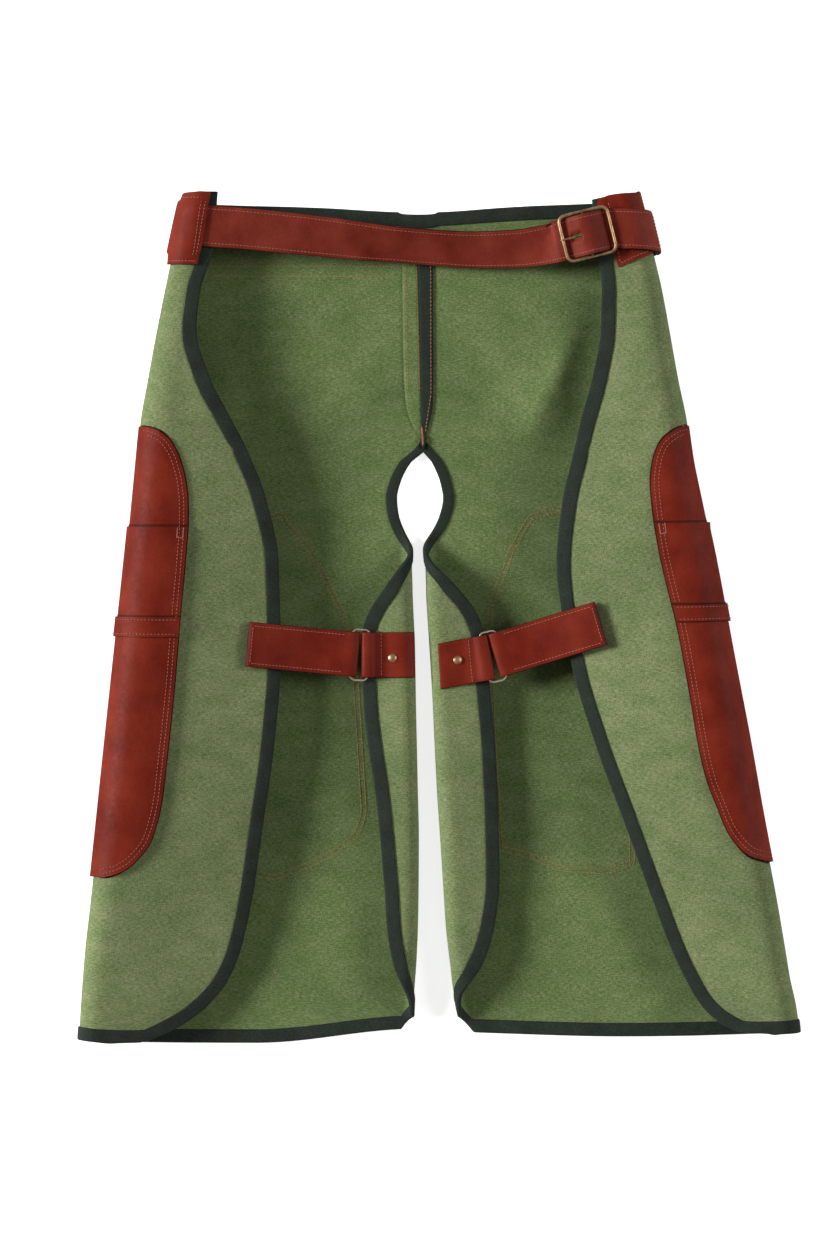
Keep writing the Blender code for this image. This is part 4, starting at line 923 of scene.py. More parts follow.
class Look(Nodes):
    """A material and the patterns that go into it."""

    def __init__(self, name, roughness, metallic=0.0, space="Object"):
        self.space = space
        self.made = bpy.data.materials.new(name)
        self.made.use_nodes = True
        super().__init__(self.made.node_tree)
        self.shine({"Roughness": roughness, "Metallic": metallic})

    def shine(self, inputs):
        self.feed(self.tree.nodes["Principled BSDF"], inputs)

    def place(self, scale):
        """Metres in the look's space, times a scale for all axes or for each."""
        inputs = {"Vector": self.add("ShaderNodeTexCoord").outputs[self.space],
                  "Scale": scale if isinstance(scale, tuple) else (scale,) * 3}
        return self.add("ShaderNodeMapping", inputs).outputs["Vector"]

    def noise(self, scale, detail, roughness, distortion=0.0):
        inputs = {"Vector": self.place(scale), "Scale": 1.0, "Detail": detail, "Roughness": roughness,
                  "Distortion": distortion}
        return self.add("ShaderNodeTexNoise", inputs).outputs["Fac"]

    def cells(self, scale):
        inputs = {"Vector": self.place(scale), "Scale": 1.0}
        return self.add("ShaderNodeTexVoronoi", inputs, feature="SMOOTH_F1").outputs["Distance"]

    def wave(self, scale, direction):
        inputs = {"Vector": self.place(scale), "Scale": 1.0, "Distortion": 0.6, "Detail": 1.0}
        return self.add("ShaderNodeTexWave", inputs, bands_direction=direction).outputs["Fac"]

    def ramp(self, factor, *stops):
        """Colours between stops, each (position, colour)."""
        node = self.add("ShaderNodeValToRGB", {"Fac": factor})
        elements = node.color_ramp.elements
        while len(elements) < len(stops):
            elements.new(0.5)
        for element, (position, colour) in zip(elements, stops):
            element.position = position
            element.color = (*colour, 1.0)
        return node.outputs["Color"]

    def product(self, a, b):
        """Two colours multiplied."""
        inputs = {0: 1.0, 6: a, 7: b}
        return self.add("ShaderNodeMix", inputs, data_type="RGBA", blend_type="MULTIPLY").outputs[2]

    def sum_of(self, a, b, weight_a, weight_b):
        """weight_a · a + weight_b · b."""
        first = self.add("ShaderNodeMath", {0: a, 1: weight_a}, operation="MULTIPLY").outputs[0]
        inputs = {0: b, 1: weight_b, 2: first}
        return self.add("ShaderNodeMath", inputs, operation="MULTIPLY_ADD").outputs[0]

    def gloss(self, pattern, low, high):
        """Roughness that follows a pattern, from one value to another."""
        inputs = {"Value": pattern, "From Min": 0.3, "From Max": 0.7, "To Min": low, "To Max": high}
        self.shine({"Roughness": self.add("ShaderNodeMapRange", inputs).outputs["Result"]})

    def bump(self, height, distance, strength):
        inputs = {"Height": height, "Distance": distance * MM, "Strength": strength}
        self.shine({"Normal": self.add("ShaderNodeBump", inputs).outputs["Normal"]})


def canvas(name, dark, middle, light):
    """Heavy waxed canvas: plain weave with slubs along the weft and a melange of fibres."""
    look = Look(name, 0.88, space="UV")
    slubs = look.noise((250.0, 1150.0, 1.0), 5.0, 0.70)
    ends = look.noise((1300.0, 320.0, 1.0), 3.0, 0.6)
    melange = look.sum_of(slubs, ends, 0.62, 0.38)
    base = look.ramp(melange, (0.39, dark), (0.5, middle), (0.61, light))
    clouds = look.noise((9.0, 7.0, 1.0), 3.0, 0.55)
    shade = look.ramp(clouds, (0.32, (0.80, 0.82, 0.80)), (0.68, (1.10, 1.08, 1.07)))
    patches = look.noise((38.0, 62.0, 1.0), 4.0, 0.62)
    cast = look.ramp(patches, (0.34, (0.84, 0.90, 0.80)), (0.66, (1.14, 1.08, 1.14)))
    weft = look.wave((1.0, 900.0, 1.0), "Y")
    warp = look.wave((900.0, 1.0, 1.0), "X")
    weave = look.sum_of(weft, warp, 0.5, 0.5)
    look.bump(look.sum_of(weave, melange, 0.45, 0.9), 0.35, 0.8)
    look.shine({"Base Color": look.product(base, look.product(shade, cast)), "Sheen Weight": 0.04,
                "Sheen Roughness": 0.5, "Specular IOR Level": 0.1})
    return look.made


def binding_tape(name):
    """Matt woven tape, almost black with a green cast."""
    look = Look(name, 0.82)
    fibres = look.noise(900.0, 3.0, 0.6)
    cloudy = look.noise(60.0, 2.0, 0.5)
    base = look.ramp(fibres, (0.3, (0.009, 0.014, 0.010)), (0.7, (0.029, 0.038, 0.028)))
    shade = look.ramp(cloudy, (0.3, (0.8, 0.8, 0.8)), (0.7, (1.15, 1.15, 1.15)))
    look.bump(look.sum_of(fibres, cloudy, 1.0, 0.6), 0.3, 0.7)
    look.shine({"Base Color": look.product(base, shade), "Sheen Weight": 0.03, "Specular IOR Level": 0.15})
    return look.made


def leather(name, dark, light, roughness):
    """Oiled leather: fine pebble grain, mottled colour, and a soft gloss."""
    look = Look(name, roughness)
    grain = look.cells(780.0)
    wrinkles = look.noise((240.0, 260.0, 240.0), 5.0, 0.62, 0.4)
    mottle = look.noise((38.0, 30.0, 38.0), 4.0, 0.55)
    speckle = look.noise(1300.0, 2.0, 0.5)
    base = look.ramp(look.sum_of(mottle, speckle, 0.72, 0.28), (0.34, dark), (0.66, light))
    pits = look.ramp(grain, (0.0, (1.04, 1.04, 1.04)), (0.75, (0.86, 0.84, 0.84)))
    look.gloss(wrinkles, roughness - 0.07, roughness + 0.09)
    look.bump(look.sum_of(grain, wrinkles, -0.55, 0.8), 0.3, 0.75)
    look.shine({"Base Color": look.product(base, pits), "Specular IOR Level": 0.08})
    return look.made


def cord_thread(name, dark, light):
    """Waxed sewing thread with a fine twist."""
    look = Look(name, 0.55)
    twist = look.noise(1500.0, 2.0, 0.5)
    look.bump(twist, 0.15, 0.6)
    look.shine({"Base Color": look.ramp(twist, (0.3, dark), (0.7, light))})
    return look.made


def metal(name, dark, light, roughness):
    """Cast and tumbled metal with worn highlights and a dull film in places."""
    look = Look(name, roughness, 1.0)
    film = look.noise(160.0, 5.0, 0.65)
    scratches = look.noise((2400.0, 500.0, 900.0), 3.0, 0.6)
    look.gloss(film, roughness + 0.1, roughness - 0.08)
    look.bump(look.sum_of(film, scratches, 0.7, 0.4), 0.12, 0.5)
    look.shine({"Base Color": look.ramp(film, (0.32, dark), (0.66, light))})
    return look.made


def hook_tape(name):
    """Rows of stiff hooks."""
    look = Look(name, 0.6)
    hooks = look.cells(700.0)
    look.bump(hooks, 0.8, 1.0)
    look.shine({"Base Color": look.ramp(hooks, (0.1, (0.022, 0.022, 0.024)), (0.7, (0.006, 0.006, 0.007)))})
    return look.made


def make_looks():
    """Each look as the list that a piece takes; leather has a second one for its cut edges."""
    # Dark burnished leather edges; the same look is also used as painted shadow round the pockets.
    edge = leather("leather_edge_and_shadow", (0.022, 0.0060, 0.0040), (0.050, 0.0105, 0.0070), 0.6)
    return {
        # The inside is a greener tone than the outside and is also made darker as painted shade; the
        # outside is made a little lighter as painted light.
        "inside": [canvas("canvas_inside_tone_and_shade", (0.082, 0.127, 0.040), (0.145, 0.206, 0.075),
                          (0.250, 0.322, 0.146))],
        "outside": [canvas("canvas_outside", (0.110, 0.147, 0.059), (0.189, 0.239, 0.103),
                           (0.312, 0.368, 0.192))],
        "tape": [binding_tape("binding_tape")],
        "leather": [leather("leather", (0.126, 0.0100, 0.0040), (0.226, 0.0255, 0.0115), 0.54), edge],
        "belt": [leather("belt_leather", (0.146, 0.0165, 0.0085), (0.252, 0.0400, 0.0240), 0.54), edge],
        # Near-black leather for the strips over the pockets' mouths: painted shade.
        "mouth": [leather("leather_shaded_mouth", (0.050, 0.0068, 0.0040), (0.085, 0.0110, 0.0062), 0.6)],
        "edge": [edge],
        "leather_thread": [cord_thread("leather_thread", (0.24, 0.064, 0.042), (0.39, 0.138, 0.094))],
        "canvas_thread": [cord_thread("canvas_thread", (0.30, 0.105, 0.036), (0.50, 0.210, 0.085))],
        "hooks": [hook_tape("hook_tape")],
        "brass": [metal("antique_brass", (0.17, 0.092, 0.046), (0.45, 0.285, 0.165), 0.44)],
        "nickel": [metal("nickel_brass", (0.40, 0.30, 0.21), (0.78, 0.64, 0.50), 0.3)],
    }


# Cloth ------------------------------------------------------------------------------------------

def leg_cloth(name, sheet, looks):
    """The canvas of one leg: its inside and outside faces have looks of their own, the inside darker in
    part as painted shade and the outside lighter in part as painted light.
    """
    lines, across = len(sheet.rows), len(sheet.columns)
    points, places = [], []
    for lift in (-HALF, HALF):
        for row, normals in zip(sheet.points, sheet.normals):
            run = 0.0
            for c in range(across):
                points.append(row[c] + normals[c] * lift)
                if c:
                    run += (row[c] - row[c - 1]).length
                places.append((run * MM, row[c].y * MM))
    inside = grid_faces(lines, across)
    faces = thick(inside, lines * across)
    look_of = [0] * len(inside) + [1] * (len(faces) - len(inside))
    return add_piece(name, points, faces, looks, places, look_of)


def cut_area(sheet):
    """(widest section, whole area) of a leg's cloth laid out flat, in metres."""
    widest, area = 0.0, 0.0
    for r in range(len(sheet.rows) - 1):
        row, after = sheet.points[r], sheet.points[r + 1]
        width = sum((b - a).length for a, b in zip(row, row[1:]))
        widest = max(widest, width)
        for c in range(len(row) - 1):
            area += (row[c + 1] - row[c]).cross(after[c] - row[c]).length / 2
            area += (after[c + 1] - after[c]).cross(after[c + 1] - row[c + 1]).length / 2
    return widest * MM, area * MM * MM


# Tape -------------------------------------------------------------------------------------------

def tape_loop(sheet, edge, covered, outward):
    """Section of a tape folded over the cloth's edge: plump at its fold, pressed at its hems."""
    here = sheet.at(*edge)
    normal = sheet.normal_at(*edge)
    rim = here + outward * (SETBACK - TAPE_ROUND)
    outer_face, inner_face = [], []
    for share in TAPE_SHARES:
        row = covered[0] + (edge[0] - covered[0]) * share
        column = covered[1] + (edge[1] - covered[1]) * share
        full = TAPE_HEM + (1 - TAPE_HEM) * soft(share / TAPE_HEM_END)
        dip = TAPE_DIP * soft(1 - abs(share - TAPE_DIP_AT) / TAPE_DIP_WIDTH)
        outer_face.append((row, column, HALF + GAP + TAPE * full - dip))
        inner_face.append((row, column, HALF + TAPE_INSIDE))
    loop = [sheet.at(row, column, lift) for row, column, lift in outer_face]
    for turn in range(0, 181, 30):
        angle = radians(turn)
        loop.append(rim + normal * OVER_TAPE * cos(angle) + outward * TAPE_ROUND * sin(angle))
    loop += [sheet.at(row, column, -lift) for row, column, lift in reversed(outer_face)]
    loop += [sheet.at(row, column, -lift) for row, column, lift in inner_face]
    loop += [here + outward * CUT_EDGE[0] + normal * way * CUT_EDGE[1] for way in (-1, 1)]
    loop += [sheet.at(row, column, lift) for row, column, lift in reversed(inner_face)]
    return loop


def tape(name, runs, looks):
    """A tape along runs of (sheet, edge place, covered place[, direction at a point])."""
    loops, ways = [], {}
    for k, (sheet, edge, covered, *point) in enumerate(runs):
        before = runs[max(k - 1, 0)]
        after = runs[min(k + 1, len(runs) - 1)]
        along = after[0].at(*after[1]) - before[0].at(*before[1])
        normal = sheet.normal_at(*edge)
        outward = along.cross(normal).normalized()
        if sheet.side not in ways:
            inwards = sheet.at(*edge) - sheet.at(*covered)
            ways[sheet.side] = 1 if outward.dot(inwards) > 0 else -1
        outward = Vector(point[0]) if point else outward * ways[sheet.side]
        loops.append(tape_loop(sheet, edge, covered, outward))
    return sweep(name, loops, looks)


def between(first, last, marks):
    """The marks from one place to another, both included, in that order."""
    low, high = min(first, last), max(first, last)
    inside = [mark for mark in marks if low < mark < high]
    line = [low] + inside + [high]
    return line if first < last else line[::-1]


def corner_runs(sheet, first, corner, last, covered):
    """Runs round a corner of the cloth, fanned about one covered place."""
    runs = []
    for start, end, shares in ((first, corner, (0.0, 0.5, 0.85)), (corner, last, (0.15, 0.5, 1.0))):
        for share in shares:
            edge = tuple(a + (b - a) * share for a, b in zip(start, end))
            runs.append((sheet, edge, covered))
    return runs


def leg_tape(name, sheet, looks):
    """Down the outer flap, along the hem and up the inner edge to the top of the opening."""
    strip_row, hem = HEM_ROW - 1, HEM_ROW
    runs = [(sheet, (r, 0), (r, 1)) for r in between(0, strip_row, sheet.rows)]
    runs += corner_runs(sheet, (strip_row, 0), (hem, 0), (hem, 1), (strip_row, 1))
    runs += [(sheet, (hem, c), (strip_row, c)) for c in between(1.2, LAST - 1.2, sheet.columns)]
    runs += corner_runs(sheet, (hem, LAST - 1), (hem, LAST), (strip_row, LAST), (strip_row, LAST - 1))
    runs += [(sheet, (r, LAST), (r, LAST - 1)) for r in between(strip_row - 0.2, APEX_ROW, sheet.rows)]
    runs.append((sheet, (APEX_ROW, LAST), (APEX_ROW - 1, LAST), (0, -APEX_POINT, 0)))
    return tape(name, runs, looks)


def waist_tape(name, sheets, looks):
    """Along the front waist, from one hip fold to the other."""
    left, right = sheets["left"], sheets["right"]
    runs = [(left, (0, c), (1, c)) for c in between(FOLD_SIDE, LAST, left.columns)]
    runs += [(right, (0, c), (1, c)) for c in between(LAST, FOLD_SIDE, right.columns)]
    return tape(name, runs, looks)


# Thread -----------------------------------------------------------------------------------------

def resample(line, pitch):
    """(point, away, along) at an even pitch on a line of (point, away)."""
    found = []
    carried = pitch / 2
    for (a, away_a), (b, away_b) in zip(line, line[1:]):
        length = (b - a).length
        if length < 1e-6:
            continue
        along = (b - a) / length
        while carried <= length:
            t = carried / length
            found.append((a.lerp(b, t), away_a.lerp(away_b, t).normalized(), along))
            carried += pitch
        carried -= length
    return found


def thread(name, lines, looks, pitch, length, radius=0.36):
    """Rows of stitches: each a short plump thread that dips into the surface at its ends."""
    points, faces = [], []
    for line in lines:
        for middle, away, along in resample(line, pitch):
            across = away.cross(along).normalized()
            start = len(points)
            for share, rise, fatness in STITCH:
                centre = middle + along * length * share + away * rise * radius
                points += circle(centre, across, away * 0.8, radius * fatness, STITCH_SIDES)
            faces += [[start + corner for corner in face] for face in rings(len(STITCH), STITCH_SIDES)]
    piece = body(name, points, faces, looks)
    piece.data.shade_smooth()
    return wear(piece)


def trail(sheet, places, lift):
    """(point, away) along (row, column) places on one face of a leg's cloth."""
    way = 1 if lift > 0 else -1
    return [(sheet.at(row, column, lift), sheet.normal_at(row, column) * way) for row, column in places]


# Knees ------------------------------------------------------------------------------------------

def rounded(corners, radius):
    """An outline with its corners rounded off."""
    outline = []
    spots = [Vector((*corner, 0)) for corner in corners]
    for k, here in enumerate(spots):
        before = (spots[k - 1] - here).normalized() * radius
        after = (spots[(k + 1) % len(spots)] - here).normalized() * radius
        for t in evenly(0.0, 1.0, CORNER_STEPS):
            point = here + before * (1 - t) ** 2 + after * t ** 2
            outline.append((point.x, point.y))
    return outline


def inset_loop(outline, inset):
    """The outline moved square to itself, inwards when it is drawn anticlockwise."""
    moved = []
    for k, (x, y) in enumerate(outline):
        before, after = outline[k - 1], outline[(k + 1) % len(outline)]
        along_x, along_y = after[0] - before[0], after[1] - before[1]
        length = hypot(along_x, along_y)
        moved.append((x - along_y / length * inset, y + along_x / length * inset))
    return moved


def knee_pad(leg, sheet, looks):
    """The leather under the knee, and the thread that holds it, which shows on the inside."""
    side = SIDES[leg]
    edge = rounded([(side * out, y) for out, y in KNEE_PATCH[leg]], PATCH_CORNER)
    piece = slab("fine_knee_patch_" + leg, edge, 0.0, PATCH, looks["leather"])
    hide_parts("knee_patch_" + leg)
    lines = []
    for inset in KNEE_ROWS:
        outline = inset_loop(edge, inset * side)
        places = [sheet.find(*ON_PANEL, side * x, y) for x, y in outline + outline[:1]]
        dense = []
        for first, last in zip(places, places[1:]):
            dense += places_between(first, last, 4)[:-1]
        lines.append(trail(sheet, dense + places[-1:], -HALF - THREAD_LIFT))
    thread("knee_thread_" + leg, lines, looks["canvas_thread"], pitch=3.6, length=2.5, radius=0.4)


# Pockets ----------------------------------------------------------------------------------------

def heights(top, bottom, step):
    """Heights from top to bottom, closer together towards both ends."""
    count = max(4, round((top - bottom) / step))
    return [(top + bottom) / 2 + (top - bottom) / 2 * cos(pi * k / count) for k in range(count + 1)]


def pocket_out(leg, y):
    """How far out a pocket's edge lies."""
    return curve_value(POCKET_EDGE[leg], POCKET_COLUMNS, "out", y)


def inset_point(leg, y, inset):
    """(y, out) moved square to the pocket's edge, towards the pocket."""
    along_out = pocket_out(leg, y - 1) - pocket_out(leg, y + 1)
    length = hypot(2.0, along_out)
    return y + along_out / length * inset, pocket_out(leg, y) + inset * 2.0 / length


def pocket_outline(leg, sheet, top, bottom, reach=0.0):
    """The pocket's edge on the flap, and more coarsely under the fold; it may reach past both."""
    levels = heights(top, bottom, 4.0)
    above, below = [], []
    for k, level in enumerate(levels):
        y, out = inset_point(leg, level, -reach)
        row, column = sheet.find(BOUND_COLUMN, FOLD_SIDE, out, y)
        above.append((column, row))
        if k % 3 == 0 or k == len(levels) - 1:
            row, column = sheet.find(UNDER_FLAP_COLUMN, FOLD_SIDE, out, y)
            below.append((column, row))
    ends = [(FOLD_SIDE, sheet.row_at(FOLD_SIDE, y)) for y in (bottom, top)]
    return above + ends[:1] + below[::-1] + ends[1:]


def pocket(leg, sheet, looks):
    """Back, front and band; a dark edge with painted shadow around them, and a strip of painted shade over
    each mouth.
    """
    for name, lifts in zip(("pocket_back_", "pocket_front_", "pocket_band_"), POCKET_LAYERS):
        outline = pocket_outline(leg, sheet, *POCKET_SPANS[leg][name])
        piece = overlay("fine_" + name + leg, sheet, outline, lifts, looks["leather"], 2, POCKET_RIM)
        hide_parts(name + leg)
    # A dark band on the cloth just past the pocket's edge: the edge's own dark colour and painted shadow.
    outline = pocket_outline(leg, sheet, *POCKET_SPANS[leg]["pocket_back_"], POCKET_EDGE_SHADOW)
    overlay("pocket_edge_shadow_" + leg, sheet, outline, POCKET_EDGE_SHADOW_LIFTS, looks["edge"], 2, THIN_RIM)
    # Near-black strips over the front's and the band's top edges: painted shade in the pockets' mouths.
    for name, (_, under), height in (("pocket_front_", POCKET_LAYERS[0], FRONT_MOUTH_SHADE),
                                     ("pocket_band_", POCKET_LAYERS[1], BAND_MOUTH_SHADE)):
        top = POCKET_SPANS[leg][name][0]
        outline = pocket_outline(leg, sheet, top + height, top - MOUTH_SHADE_BEHIND)
        lifts = [under + lift for lift in MOUTH_SHADE_LIFTS]
        overlay(name + "mouth_shade_" + leg, sheet, outline, lifts, looks["mouth"], 2, THIN_RIM)


def pocket_rows(leg, sheet):
    """Two rows of thread inside the curved edge, and one along the band's top and bottom."""
    back_top, bottom = POCKET_SPANS[leg]["pocket_back_"]
    front_top = POCKET_SPANS[leg]["pocket_front_"][0]
    band_top, band_bottom = POCKET_SPANS[leg]["pocket_band_"]
    back, front, band = [high for _, high in POCKET_LAYERS]
    lines = []
    for inset in POCKET_ROWS:
        for top, start, end, lift in ((back_top, back_top - inset, front_top, back),
                                      (front_top, front_top, band_top, front),
                                      (band_bottom, band_bottom, bottom, front)):
            places = []
            for level in heights(top, end, 3.0):
                y, out = inset_point(leg, level, inset)
                if end < y < start:
                    out = min(out, outer(leg + "_fold", y) - ROWS_FROM_FOLD)
                    places.append(sheet.find(BOUND_COLUMN, FOLD_SIDE, out, y))
            lines.append(trail(sheet, places, lift + THREAD_LIFT))
    for y in (band_top - BAND_ROW, band_bottom + BAND_ROW):
        first = sheet.find(BOUND_COLUMN, FOLD_SIDE, pocket_out(leg, y) + BAND_ROW_START, y)
        last = (sheet.row_at(BAND_ROW_END, y), BAND_ROW_END)
        lines.append(trail(sheet, places_between(first, last, 14), band + THREAD_LIFT))
    return lines


def pocket_tack(leg, sheet):
    """The bar tack at the front's upper corner."""
    front_top = POCKET_SPANS[leg]["pocket_front_"][0]
    top, end = [front_top - down for down in TACK_SPAN]
    near, far = TACK_INSETS
    corners = []
    for level, inset in ((top, near), (end, near), (end, far), (top, far)):
        y, out = inset_point(leg, level, inset)
        corners.append(sheet.find(BOUND_COLUMN, FOLD_SIDE, out, y))
    lift = POCKET_LAYERS[1][1] + TACK_LIFT
    return [trail(sheet, places_between(first, last, 6), lift) for first, last in zip(corners, corners[1:])]


def pocket_threads(leg, sheet, looks):
    """The pocket's rows and its tack."""
    thread("pocket_thread_" + leg, pocket_rows(leg, sheet), looks, pitch=3.3, length=2.0)
    thread("pocket_tack_" + leg, pocket_tack(leg, sheet), looks, pitch=1.3, length=1.7, radius=0.5)


# Hips -------------------------------------------------------------------------------------------

def hip_loop(name, y):
    """A named value of the belt loop at a height."""
    return curve_value(HIP_LOOP, HIP_LOOP_COLUMNS, name, y)


def loop_lift(sheet, row, column):
    """Lift of the belt loop's middle."""
    return hip_loop("lift", sheet.at(row, column).y)


def belt_loop(sheet, looks):
    """The loop over the belt on the left hip."""
    top, _, reach = HIP_LOOP[0]
    clip_across, clip_down = HIP_LOOP_CLIP
    corner = sheet.find(*ON_FLAP_COLUMNS, reach, top)[1]
    outline = [(column, 0.0) for column in (HIP_LOOP_SIDE, 4.0, 2.0, corner - clip_across)]
    outline.append((corner, clip_down))
    for y, _, edge in HIP_LOOP:
        row, column = sheet.find(*ON_FLAP_COLUMNS, edge, y)
        outline.append((column, row))
    outline += [(HIP_LOOP_SIDE, sheet.row_at(HIP_LOOP_SIDE, y)) for y, _, _ in reversed(HIP_LOOP)]
    lifts = (lambda column, row: loop_lift(sheet, row, column) - LEATHER / 2,
             lambda column, row: loop_lift(sheet, row, column) + LEATHER / 2)
    piece = overlay("fine_hip_tab_left", sheet, outline, lifts, looks)
    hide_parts("hip_tab_left")


def loop_rows(sheet):
    """Rows of thread down the belt loop's free edge, and one across each end."""
    top, foot = HIP_LOOP[0][0], HIP_LOOP[-1][0]
    end, inset = HIP_LOOP_ENDS
    rows = [[sheet.find(*ON_FLAP_COLUMNS, hip_loop("edge", y) + inside, y)
             for y in evenly(top - end, foot + end, 30)] for inside in HIP_LOOP_ROWS]
    for y in (top - inset, foot + inset):
        first = sheet.find(*ON_FLAP_COLUMNS, hip_loop("edge", y) + inset, y)
        rows.append(places_between(first, (sheet.row_at(HIP_LOOP_CROSS, y), HIP_LOOP_CROSS), 14))
    return [[(sheet.at(row, column, loop_lift(sheet, row, column) + LEATHER / 2 + THREAD_LIFT),
              sheet.normal_at(row, column)) for row, column in places] for places in rows]


def hip_patch(sheet, looks):
    """The patch under the belt on the right hip."""
    side, levels = HIP_PATCH_SIDE
    outline = [(column, 0.0) for column in HIP_PATCH_TOP]
    outline += [(side, sheet.row_at(side, y)) for y in levels]
    for out, y in HIP_PATCH:
        row, column = sheet.find(*ON_HIP_COLUMNS, out, y)
        outline.append((column, row))

    def patch_lift(column, _):
        return HALF + GAP + (TAPE + GAP) * soft(HIP_PATCH_DOWN - column)

    lifts = (patch_lift, lambda column, row: patch_lift(column, row) + LEATHER)
    piece = overlay("fine_hip_tab_right", sheet, outline, lifts, looks)
    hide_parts("hip_tab_right")


def hip_tabs(sheets, looks):
    """The leather on both hips, with its thread."""
    belt_loop(sheets["left"], looks["leather"])
    hip_patch(sheets["right"], looks["leather"])
    lines = loop_rows(sheets["left"])
    sheet = sheets["right"]
    corners = [sheet.find(BOUND_COLUMN, ON_HIP_COLUMNS[1], out, y) for out, y in HIP_PATCH_ROW]
    for first, last in zip(corners, corners[1:]):
        lines.append(trail(sheet, places_between(first, last, 16), HALF + GAP + LEATHER + THREAD_LIFT))
    thread("hip_thread", lines, looks["leather_thread"], pitch=3.2, length=2.3)


# Seams ------------------------------------------------------------------------------------------

def crotch_rise(y):
    """How far the seam binding rides up on the crotch's tape."""
    return (OVER_TAPE - HALF) * soft((CROTCH_TOP - y) / CROTCH_RISE)


def seam_edge(column, y):
    """x of one edge of the allowance or its binding; where both meet covers the legs' seam."""
    x = curve_value(SEAM_STRIPS, SEAM_COLUMNS, column, y)
    return x - SEAM_SHIFT if column == "seam" else x


def seam_strip(name, first, last, looks, ends=()):
    """A strip on the inside of the legs' seam, between two edges; ends go on as (y, edge, edge)."""
    levels = evenly(SEAM_STRIPS[0][0], SEAM_STRIPS[-1][0], SEAM_LINES)
    spans = [(y, seam_edge(first, y) + GAP / 2, seam_edge(last, y) - GAP / 2) for y in levels]
    spans += ends
    points, places = [], []
    for base, crown in ((HALF + GAP, 0.0), (HALF + GAP + STRIP - SEAM_ROUND, SEAM_PLUMP)):
        for y, start, end in spans:
            for i, x in enumerate(evenly(start, end, SEAM_ACROSS)):
                plump = crown * (1 - (2 * i / SEAM_ACROSS - 1) ** 4)
                points.append((x, y, outer("rest", y) + base + crotch_rise(y) + plump))
                places.append((x * MM, y * MM))
    faces = grid_faces(len(spans), SEAM_ACROSS + 1)
    piece = add_piece("fine_" + name, points, thick(faces, len(points) // 2), looks, places)
    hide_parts(name)


def on_seam(start, end):
    """(point, away) along a line over the seam's strips."""
    lift = HALF + GAP + STRIP + TACK_LIFT
    return [(Vector((x, y, outer("rest", y) + lift + crotch_rise(y))), Vector((0, 0, 1)))
            for x, y in places_between(start, end, 40)]


def on_panel(sheets, start, end):
    """(point, away) along a line over the inside of whichever panel is there."""
    line = []
    for x, y in places_between(start, end, 60):
        if abs(x - seam_x(y)) >= 1.0:
            sheet = sheets["left" if x < seam_x(y) else "right"]
            row, column = sheet.find(FOLD_FOOT, LAST, x * sheet.side, y)
            line.append((sheet.at(row, column, -HALF - THREAD_LIFT), sheet.normal_at(row, column) * -1))
    return line


def cloth_threads(sheets, looks):
    """Topstitching on the inside of the panels and along the seam."""
    lines = [on_panel(sheets, start, end) for start, end in INSIDE_ROWS]
    lines += [on_seam(start, end) for start, end in SEAM_ROWS]
    thread("canvas_thread", lines, looks["canvas_thread"], pitch=3.4, length=2.3)
    tack = [on_seam(start, end) for start, end in CROTCH_TACK]
    thread("crotch_tack", tack, looks["canvas_thread"], pitch=1.5, length=2.0, radius=0.45)


# Straps -----------------------------------------------------------------------------------------
# A strap's station is two edges, each a (low, high) pair of points.

def hermite(points, counts):
    """A smooth line through points, with a number of steps in each stretch."""
    gaps = [max((b - a).length, 1e-6) for a, b in zip(points, points[1:])]
    slopes = []
    for k, point in enumerate(points):
        if k == 0:
            slopes.append((points[1] - point) / gaps[0])
        elif k == len(points) - 1:
            slopes.append((point - points[-2]) / gaps[-1])
        else:
            before, after = gaps[k - 1], gaps[k]
            rate_in = (point - points[k - 1]) / before
            rate_out = (points[k + 1] - point) / after
            slopes.append((rate_in * after + rate_out * before) / (before + after))
    line = []
    for k, count in enumerate(counts):
        line += [cubic(points[k], points[k + 1], slopes[k], slopes[k + 1], gaps[k], i / count)
                 for i in range(count)]
    return line + [points[-1]]


def smooth_stations(stations, step=4.0):
    """More stations, about a step apart, on smooth lines through the given ones."""
    middles = [(a[0] + b[0]) / 2 for a, b in stations]
    counts = [max(1, round((q - p).length / step)) for p, q in zip(middles, middles[1:])]
    corners = [[station[edge][layer] for station in stations] for edge in (0, 1) for layer in (0, 1)]
    lines = [hermite(corner, counts) for corner in corners]
    return [[(a_low, a_high), (b_low, b_high)] for a_low, a_high, b_low, b_high in zip(*lines)]


def strap_loop(station):
    """The strap's section: rounded edges and a faint groove under the stitching."""
    (a_low, a_high), (b_low, b_high) = station
    shares = list(STRAP_PROFILE) + [(1 - t, full) for t, full in reversed(STRAP_PROFILE[:-1])]
    low, high = [], []
    for t, full in shares:
        bottom, top = a_low.lerp(b_low, t), a_high.lerp(b_high, t)
        middle = (bottom + top) / 2
        low.append(middle.lerp(bottom, full))
        high.append(middle.lerp(top, full))
    return low + high[::-1]


def strap(name, stations, looks):
    """A strap through its stations; a second look is for its cut edges and ends."""
    loops = [strap_loop(station) for station in stations]
    size = len(loops[0])
    half = size // 2
    cut = (0, half - 2, half - 1, half, size - 2, size - 1)
    look_of = [int(i in cut) for i in range(size)] * (len(loops) - 1) + [1, 1] if len(looks) > 1 else None
    return sweep(name, loops, looks, look_of=look_of)


def strap_spot(station, share):
    """(point, away) for a stitch on a strap, at a share of its width."""
    (a_low, a_high), (_, b_high) = station
    away = (a_high - a_low).normalized()
    return a_high.lerp(b_high, share) + away * STRAP_THREAD_LIFT, away


def cross_line(station, first=0.1, last=0.9):
    """Places for stitches across a strap."""
    return [strap_spot(station, share) for share in evenly(first, last, 10)]


